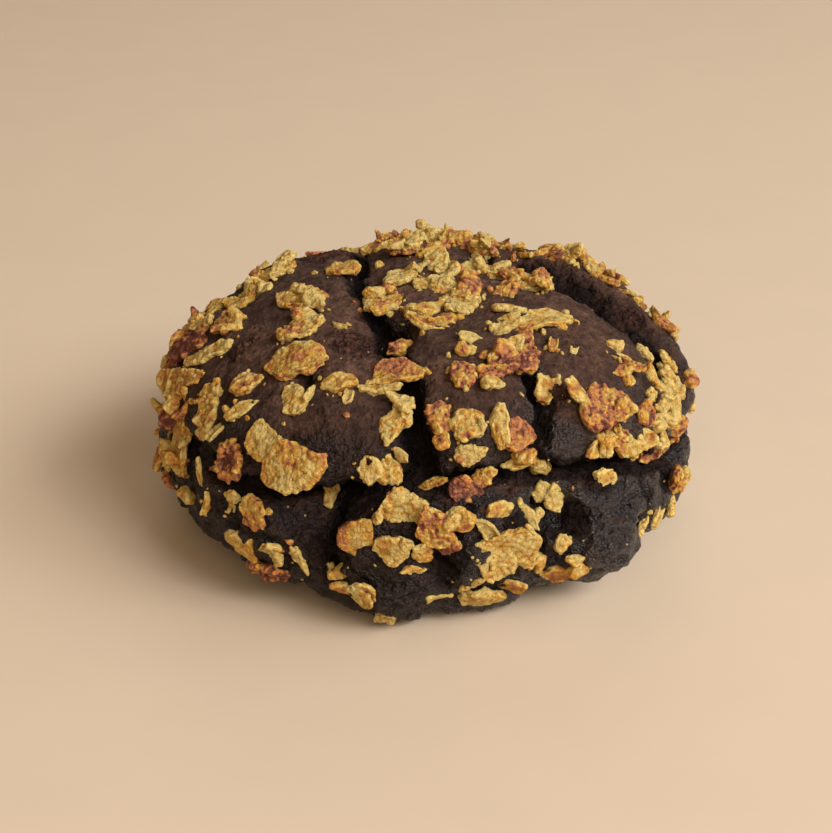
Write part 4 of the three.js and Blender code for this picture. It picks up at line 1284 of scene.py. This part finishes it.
class CookieDough(bpy.types.Operator):
    """Model the cracked and split ball of chocolate dough"""

    bl_idname = "cookie.dough"
    bl_label = "Dough"

    COLUMNS = 640
    ROWS = 300
    FOOT_ELEVATIONS = (-50.0, -8.0)
    HALVINGS = 18

    def execute(self, context):
        settings = context.scene.cookie_dough
        wander = settings.wander / MM
        net = settings.net / MM
        points, faces = even_net(*self.rough_ball(wander), net)
        points = relaxed(points, faces, rounds=1)
        points, faces = with_plain_base(points, faces, 0.6 * net - WIDEST_LEVEL)
        points = self.textured(points, faces, wander, settings.wrinkles / MM)
        points, faces = thinned(points, faces, min(1.0, settings.triangles / len(faces)))
        sunk = smoothstep(sunk_at(points, wander), 0.5, 5.0)
        # How dark and wet the dough looks. It is darker below the middle, where the dough is wet and
        # where less light reaches. It is darker on upright faces, as painted shade. It is darker in
        # cracks, where the dough is wet and where painted shade is laid too.
        level = points[:, 2] + 2.5 * layered(points, 9, 2, 80)
        facing_up = relaxed(point_normals(points, faces), faces, rounds=12)[:, 2]
        upright = 1 - smoothstep(facing_up, 0.35, 1.0)
        wetness_and_shade = 0.5 * smoothstep(-level, -7.5, 0.0) + 0.85 * upright + 0.6 * sunk
        looks = {
            "sunk": sunk,
            "wetness_and_shade": np.clip(wetness_and_shade + 0.25 * layered(points, 5, 2, 81), 0, 1),
            "raised": standing_up(points, faces, scale=0.20),
            "torn": torn_at(points),
        }
        material = dough_material(settings)
        finished("cracked_dough", points + MIDDLE, faces, material, looks, replaced=["dough"])
        return {"FINISHED"}

    def rough_ball(self, wander):
        """The dough's skin on a net of columns and rows, closed by a flat base."""
        columns, rows = self.COLUMNS, self.ROWS
        bearing = np.arange(columns) * 360 / columns - 180
        low, high = (np.full(columns, elevation) for elevation in self.FOOT_ELEVATIONS)
        for _ in range(self.HALVINGS):
            tried = (low + high) / 2
            under = dough_skin(direction_to(bearing, tried), wander)[0][:, 2] < -WIDEST_LEVEL
            low = np.where(under, tried, low)
            high = np.where(under, high, tried)
        share = (np.arange(rows) / rows) ** 1.1
        elevation = low[:, None] + (90 - low[:, None]) * share
        bearings = np.broadcast_to(bearing[:, None], elevation.shape)
        directions = direction_to(bearings.ravel(), elevation.ravel())
        skin = dough_skin(directions, wander)[0].reshape(columns, rows, 3)
        skin[:, 0, 2] = -WIDEST_LEVEL
        skin[:, :, 2] = np.maximum(skin[:, :, 2], -WIDEST_LEVEL)
        top = dough_skin(np.array([[0.0, 0.0, 1.0]]), wander)[0]
        points = np.concatenate([skin.reshape(-1, 3), top, [[0, 0, -WIDEST_LEVEL]]])
        first = np.arange(columns) * rows
        after = np.roll(first, -1)
        last = rows - 1
        here = (first[:, None] + np.arange(last)).ravel()
        there = (after[:, None] + np.arange(last)).ravel()
        sides = halves(here, there, there + 1, here + 1)
        apex = np.full(columns, columns * rows)
        cap = np.stack([first + last, after + last, apex], axis=1)
        foot = np.stack([after, first, apex + 1], axis=1)
        return points, np.concatenate([*sides, cap, foot])

    @staticmethod
    def textured(points, faces, wander, wrinkles):
        """Wrinkled and grained skin, torn crumb in cracks and patches, and lumps below the waist."""
        normals = point_normals(points, faces)
        sunk = smoothstep(sunk_at(points, wander), 0.4, 3.0)
        below = smoothstep(-points[:, 2], -6.0, 1.0)
        ridge = 1 - 2 * np.abs(layered(points, 3.4, 3, 11))
        height = wrinkles * ridge
        height += 0.26 * layered(points, 1.3, 2, 12) + 0.14 * noise(points, 0.8, 13)
        strayed = points + 2.4 * drift(points, 6, 3, 50)
        lump, next_lump, _ = cells(strayed, 8.5, 21)
        crease = np.exp(-(((next_lump - lump) / 0.10) ** 2))
        broken_skin = 1 - 2 * np.abs(layered(points, 2.2, 3, 26))
        height += below * (1.1 * (0.5 - lump) - 0.5 * crease + 0.38 * broken_skin)
        crumbled = 0.9 * below * smoothstep(layered(points, 7, 2, 62), 0.0, 0.3)
        torn = np.maximum(np.maximum(sunk, torn_at(points)), crumbled)
        uneven = points + 0.8 * drift(points, 2.2, 2, 51)
        knob, _, _ = cells(uneven, 2.6, 22)
        grit, _, _ = cells(uneven, 1.1, 23)
        crumb = 0.8 * (0.45 - knob) + 0.6 * (0.45 - grit) + 0.7 * layered(points, 2.4, 3, 25)
        height += torn * crumb
        pit, _, own = cells(points, 1.5, 24)
        height -= 0.18 * (own > 0.72) * (1 - smoothstep(pit, 0.1, 0.4))
        above_table = smoothstep(points[:, 2] + WIDEST_LEVEL, 0.2, 2.0)
        points = points + normals * (height * above_table)[:, None]
        points[:, 2] = np.maximum(points[:, 2], -WIDEST_LEVEL)
        return points


class CookieLargeFlakes(bpy.types.Operator):
    """Model each large flake in its own place and press it into the dough"""

    bl_idname = "cookie.large_flakes"
    bl_label = "Large flakes"

    FIRST_SEED = 1000
    PROBES = 120
    DEEPEST = 1.6

    def execute(self, context):
        settings = context.scene.cookie_flakes
        ground = Ground([required("cracked_dough")])
        nuggets = make_nuggets()
        for index, node in enumerate(FLAKE_NODES):
            self.lay(node, self.FIRST_SEED + 13 * index, settings, ground, nuggets)
        return {"FINISHED"}

    def lay(self, node, seed, settings, ground, nuggets):
        points, faces = mesh_arrays(frame["nodes"][node].data)
        points = points / MM
        centre = points.mean(axis=0)
        points = points - centre
        _, region, number = node.split("_")
        if region in FLAKE_STYLES:
            heap, blisters, browner, scorched = FLAKE_STYLES[region][int(number) - 1]
        else:
            spread = np.linalg.svd(points, full_matrices=False)[1]
            heap, blisters, browner, scorched = spread[2] > THICK_SHARE * spread[0], 1.0, 0.0, 0.1
        bumps = blisters * settings.blister / MM
        ragged = (0.8 if heap else min(1.0, blisters)) * settings.ragged / MM
        points, faces, raised, own, rim = toasted_skin(
            points, faces, settings.net / MM, ragged, bumps, heap, nuggets, seed, blisters
        )
        inwards = MIDDLE - centre
        inwards[2] *= 1.6
        inwards = unit(inwards)
        points = points + centre
        free = ground.clearance(points, inwards, self.PROBES)
        if len(free) < self.PROBES / 12:
            raise RuntimeError(f"{node} has no dough under it")
        first_touch = 0.02 if region in ("rim", "top") else 0.12
        settle = min(np.quantile(free, first_touch), self.DEEPEST) + settings.pressed / MM
        points = points + inwards * settle
        points[:, 2] = np.maximum(points[:, 2], LEAST_LIFT)
        spotted = (0.7 if heap else 0.2) * (own - 0.5)
        browning = browner + 1.4 * scorched * rim + spotted + 0.3 * layered(points, 5.0, 2, seed + 2)
        slot = SLOT_OF[node]
        looks = {"browning": browning, "raised": raised}
        finished(node + "_fine", points, faces, material_for(slot), looks, replaced=[node])


class CookieSmallFlakes(bpy.types.Operator):
    """Lay the small flakes: those with a place of their own, then a scatter round the sides and back"""

    bl_idname = "cookie.small_flakes"
    bl_label = "Small flakes"

    PROBES = 40
    LONGEST_SMALL = 4.3
    PRESSED = 0.3

    def execute(self, context):
        settings = context.scene.cookie_crumbs
        large = [required(node + "_fine") for node in FLAKE_NODES]
        self.ground = Ground([required("cracked_dough"), *large])
        self.blanks = make_blank_flakes(context.scene.cookie_flakes)
        self.rng = np.random.default_rng(settings.seed)
        self.piles = {slot: Pile() for slot in FLAKE_TONES}
        for slot, bits in zip(FLAKE_TONES, (PALE_BITS, GOLDEN_BITS, TOASTED_BITS)):
            for bit in bits:
                self.lay(slot, *bit)
        for _ in range(settings.bits):
            self.lay_anywhere()
        for slot, pile in self.piles.items():
            pile.finish(slot + "_bits", material_for(slot), slot)
        return {"FINISHED"}

    def lay_anywhere(self):
        """Lays a bit on the sides or the back, where few have a place of their own."""
        rng = self.rng
        while True:
            bearing = rng.uniform(-180, 180)
            elevation = random_elevation(rng)
            facing = abs(bearing) < 88 and elevation < 60
            if facing and rng.random() < 0.9:
                continue
            if not on_bare_patch(direction_to(bearing, elevation)):
                break
        length = rng.uniform(2.2, 6.4)
        slot = list(FLAKE_TONES)[rng.choice(3, p=(0.45, 0.3, 0.25))]
        width = length * rng.uniform(0.4, 0.8)
        self.lay(slot, bearing, elevation, length, width, rng.uniform(0, 180), rng.uniform(5, 40))

    def lay(self, slot, bearing, elevation, length, width, turn, lean):
        rng = self.rng
        direction = direction_to(bearing, elevation)
        reach = self.ground.height(direction)
        size = "medium" if length > self.LONGEST_SMALL else "small"
        kinds = self.blanks[size, bool(rng.random() < FLAKE_TONES[slot][2])]
        points, faces, raised, own, _ = kinds[rng.integers(len(kinds))]
        extent = points.max(axis=0) - points.min(axis=0)
        scale = np.array([length / extent[0], width / extent[1], 0.0])
        scale[2] = np.clip(0.5 * (scale[0] + scale[1]), 0.75, 1.25)
        flip = rng.choice([-1.0, 1.0])
        local = points * scale * np.array([flip, flip, 1.0])
        axes = laying_frame(direction, turn, lean, rng.uniform(0, 2 * math.pi))
        placed = local @ axes.T + MIDDLE + reach * direction
        free = self.ground.clearance(placed, -direction, self.PROBES)
        if len(free) > self.PROBES / 8:
            placed = placed - direction * (np.quantile(free, 0.2) + self.PRESSED)
        placed[:, 2] = np.maximum(placed[:, 2], LEAST_LIFT)
        browning = rng.uniform(-0.2, 0.2) + 0.3 * noise(placed, 3.5, 77) + 0.3 * (own - 0.5)
        self.piles[slot].add(placed, faces, browning=browning, raised=raised)


def on_bare_patch(direction):
    point = plain_point(direction)[None]
    return any(away[0] < radius for away, radius in away_from(point, BARE_PATCHES))


class CookieCrumbs(bpy.types.Operator):
    """Scatter crumbs thickly round the flakes and thinly elsewhere"""

    bl_idname = "cookie.crumbs"
    bl_label = "Crumbs"

    ROUND_FLAKES = 1.5
    ELSEWHERE = 0.003
    LEAST_LIFT = 0.03

    def execute(self, context):
        settings = context.scene.cookie_crumbs
        names = [node + "_fine" for node in FLAKE_NODES] + [slot + "_bits" for slot in FLAKE_TONES]
        ground = Ground([required("cracked_dough")])
        rng = np.random.default_rng(settings.seed + 1)
        blanks = make_nuggets()
        near = np.concatenate([mesh_arrays(required(name).data)[0][::25] / MM for name in names])
        tree = KDTree(len(near))
        for i, point in enumerate(near):
            tree.insert(point, i)
        tree.balance()
        pile = Pile()
        laid = 0
        while laid < settings.crumbs:
            elevation = random_elevation(rng)
            direction = direction_to(rng.uniform(-180, 180), elevation)
            point = MIDDLE + ground.height(direction) * direction
            gap = tree.find(point)[2]
            if rng.random() > self.ELSEWHERE + math.exp(-((gap / self.ROUND_FLAKES) ** 2)):
                continue
            laid += 1
            points, faces = blanks[rng.integers(len(blanks))]
            size = 0.38 + 1.2 * rng.random() ** 2.2
            stretch = rng.uniform(0.45, 1.5, 3)
            placed = (points * size * stretch) @ random_axes(rng).T + point + direction * 0.15 * size
            placed[:, 2] = np.maximum(placed[:, 2], self.LEAST_LIFT)
            pile.add(placed, faces, browning=rng.uniform(-0.1, 0.5), raised=0.7)
        pile.finish("crumbs", material_for("flake_pale"), "flake_pale")
        return {"FINISHED"}


def icosphere(rounds):
    """A unit ball of triangles."""
    golden = (1 + 5**0.5) / 2
    corners = []
    for a in (-1, 1):
        for b in (-golden, golden):
            corners += [(0, a, b), (a, b, 0), (b, 0, a)]
    points = np.array(corners, float)
    length = np.linalg.norm(points[:, None] - points[None], axis=2)
    near = (length > 0.1) & (length < 2.1)
    faces = []
    for i, j, k in combinations(range(len(points)), 3):
        if near[i, j] and near[j, k] and near[i, k]:
            outward = np.cross(points[j] - points[i], points[k] - points[i]) @ points[i] > 0
            faces.append((i, j, k) if outward else (i, k, j))
    points = [p / np.linalg.norm(p) for p in points]
    for _ in range(rounds - 1):
        halves = {}
        smaller = []

        def half(a, b):
            key = (min(a, b), max(a, b))
            if key not in halves:
                middle = points[a] + points[b]
                points.append(middle / np.linalg.norm(middle))
                halves[key] = len(points) - 1
            return halves[key]

        for a, b, c in faces:
            ab, bc, ca = half(a, b), half(b, c), half(c, a)
            smaller += [(a, ab, ca), (ab, b, bc), (ca, bc, c), (ab, bc, ca)]
        faces = smaller
    return np.array(points), np.array(faces)


HALF_TABLE = 3.0  # in metres
AIM_OVER_BASE = (-1.2, 0, 17)  # where the camera looks, from the middle of the base

# Round lights over the table: place, size, power and colour.
SOFTBOXES = {
    "window": ((0.95, -0.55, 0.80), 0.74, 10.8, (0.94, 1.0, 1.05)),
    "key": ((1.00, -1.40, 1.40), 0.90, 22.8, (0.96, 1.0, 1.07)),
    "front": ((0.00, -2.00, 1.20), 1.60, 17.2, (1.12, 0.98, 0.74)),
    "side": ((1.60, 0.20, 1.00), 1.20, 7.7, (0.90, 1.0, 1.10)),
    "back": ((0.10, 1.60, 1.10), 1.40, 5.0, (1.0, 0.98, 0.85)),
}


class CookieStage(bpy.types.Operator):
    """Set the table, the camera and soft studio lights"""

    bl_idname = "cookie.stage"
    bl_label = "Stage"

    def execute(self, context):
        settings = context.scene.cookie_stage
        self.table(settings)
        self.camera(context, settings)
        self.lights(context)
        return {"FINISHED"}

    @staticmethod
    def table(settings):
        corners = np.array([(-1, -1, 0), (1, -1, 0), (1, 1, 0), (-1, 1, 0)])
        mesh = raw_mesh("table", HALF_TABLE * corners, np.array([[0, 1, 2, 3]]))
        mesh.materials.append(floor_material(settings.floor))
        new_object("table", mesh)

    @staticmethod
    def camera(context, settings):
        aim = Vector(BASE_MOUNT["pos_m"]) + Vector(AIM_OVER_BASE) * MM
        away = Vector((0, -math.cos(settings.elevation), math.sin(settings.elevation)))
        data = bpy.data.cameras.new("camera")
        data.lens = settings.lens
        data.sensor_width = 36
        camera = new_object("camera", data)
        camera.location = aim + settings.distance * away
        camera.rotation_euler = (math.pi / 2 - settings.elevation, 0, 0)
        context.scene.camera = camera

    @staticmethod
    def lights(context):
        aim = Vector((0, 0, 0.02))
        for name, (place, size, power, colour) in SOFTBOXES.items():
            data = bpy.data.lights.new(name, "AREA")
            data.shape = "DISK"
            data.size = size
            data.energy = power
            data.color = colour
            light = new_object(name, data)
            light.location = place
            light.rotation_euler = (aim - light.location).to_track_quat("-Z", "Y").to_euler()
        world = bpy.data.worlds.new("room")
        world.use_nodes = True
        background = world.node_tree.nodes["Background"]
        background.inputs["Color"].default_value = (1.0, 0.5, 0.2, 1)
        background.inputs["Strength"].default_value = 0.10
        context.scene.world = world
        context.scene.view_settings.view_transform = "Standard"


class CookiePanel(bpy.types.Panel):
    """Lists the steps and the settings in the sidebar"""

    bl_idname = "VIEW3D_PT_cookie"
    bl_label = "Cornflake Cookie"
    bl_space_type = "VIEW_3D"
    bl_region_type = "UI"
    bl_category = "Cookie"

    def draw(self, context):
        for operator in OPERATORS:
            self.layout.operator(operator.bl_idname)
        for key, group in SETTINGS.items():
            box = self.layout.box()
            for name in group.__annotations__:
                box.prop(getattr(context.scene, key), name)


SETTINGS = {
    "cookie_dough": DoughSettings,
    "cookie_flakes": FlakeSettings,
    "cookie_crumbs": CrumbSettings,
    "cookie_stage": StageSettings,
}
OPERATORS = (CookieDough, CookieLargeFlakes, CookieSmallFlakes, CookieCrumbs, CookieStage)
CLASSES = (*SETTINGS.values(), *OPERATORS, CookiePanel)


def register():
    for cls in CLASSES:
        bpy.utils.register_class(cls)
    for key, group in SETTINGS.items():
        setattr(bpy.types.Scene, key, PointerProperty(type=group))


def unregister():
    for key in SETTINGS:
        delattr(bpy.types.Scene, key)
    for cls in reversed(CLASSES):
        bpy.utils.unregister_class(cls)


def main():
    register()
    bpy.ops.cookie.dough()
    bpy.ops.cookie.large_flakes()
    bpy.ops.cookie.small_flakes()
    bpy.ops.cookie.crumbs()
    bpy.ops.cookie.stage()


if __name__ == "__main__":
    main()
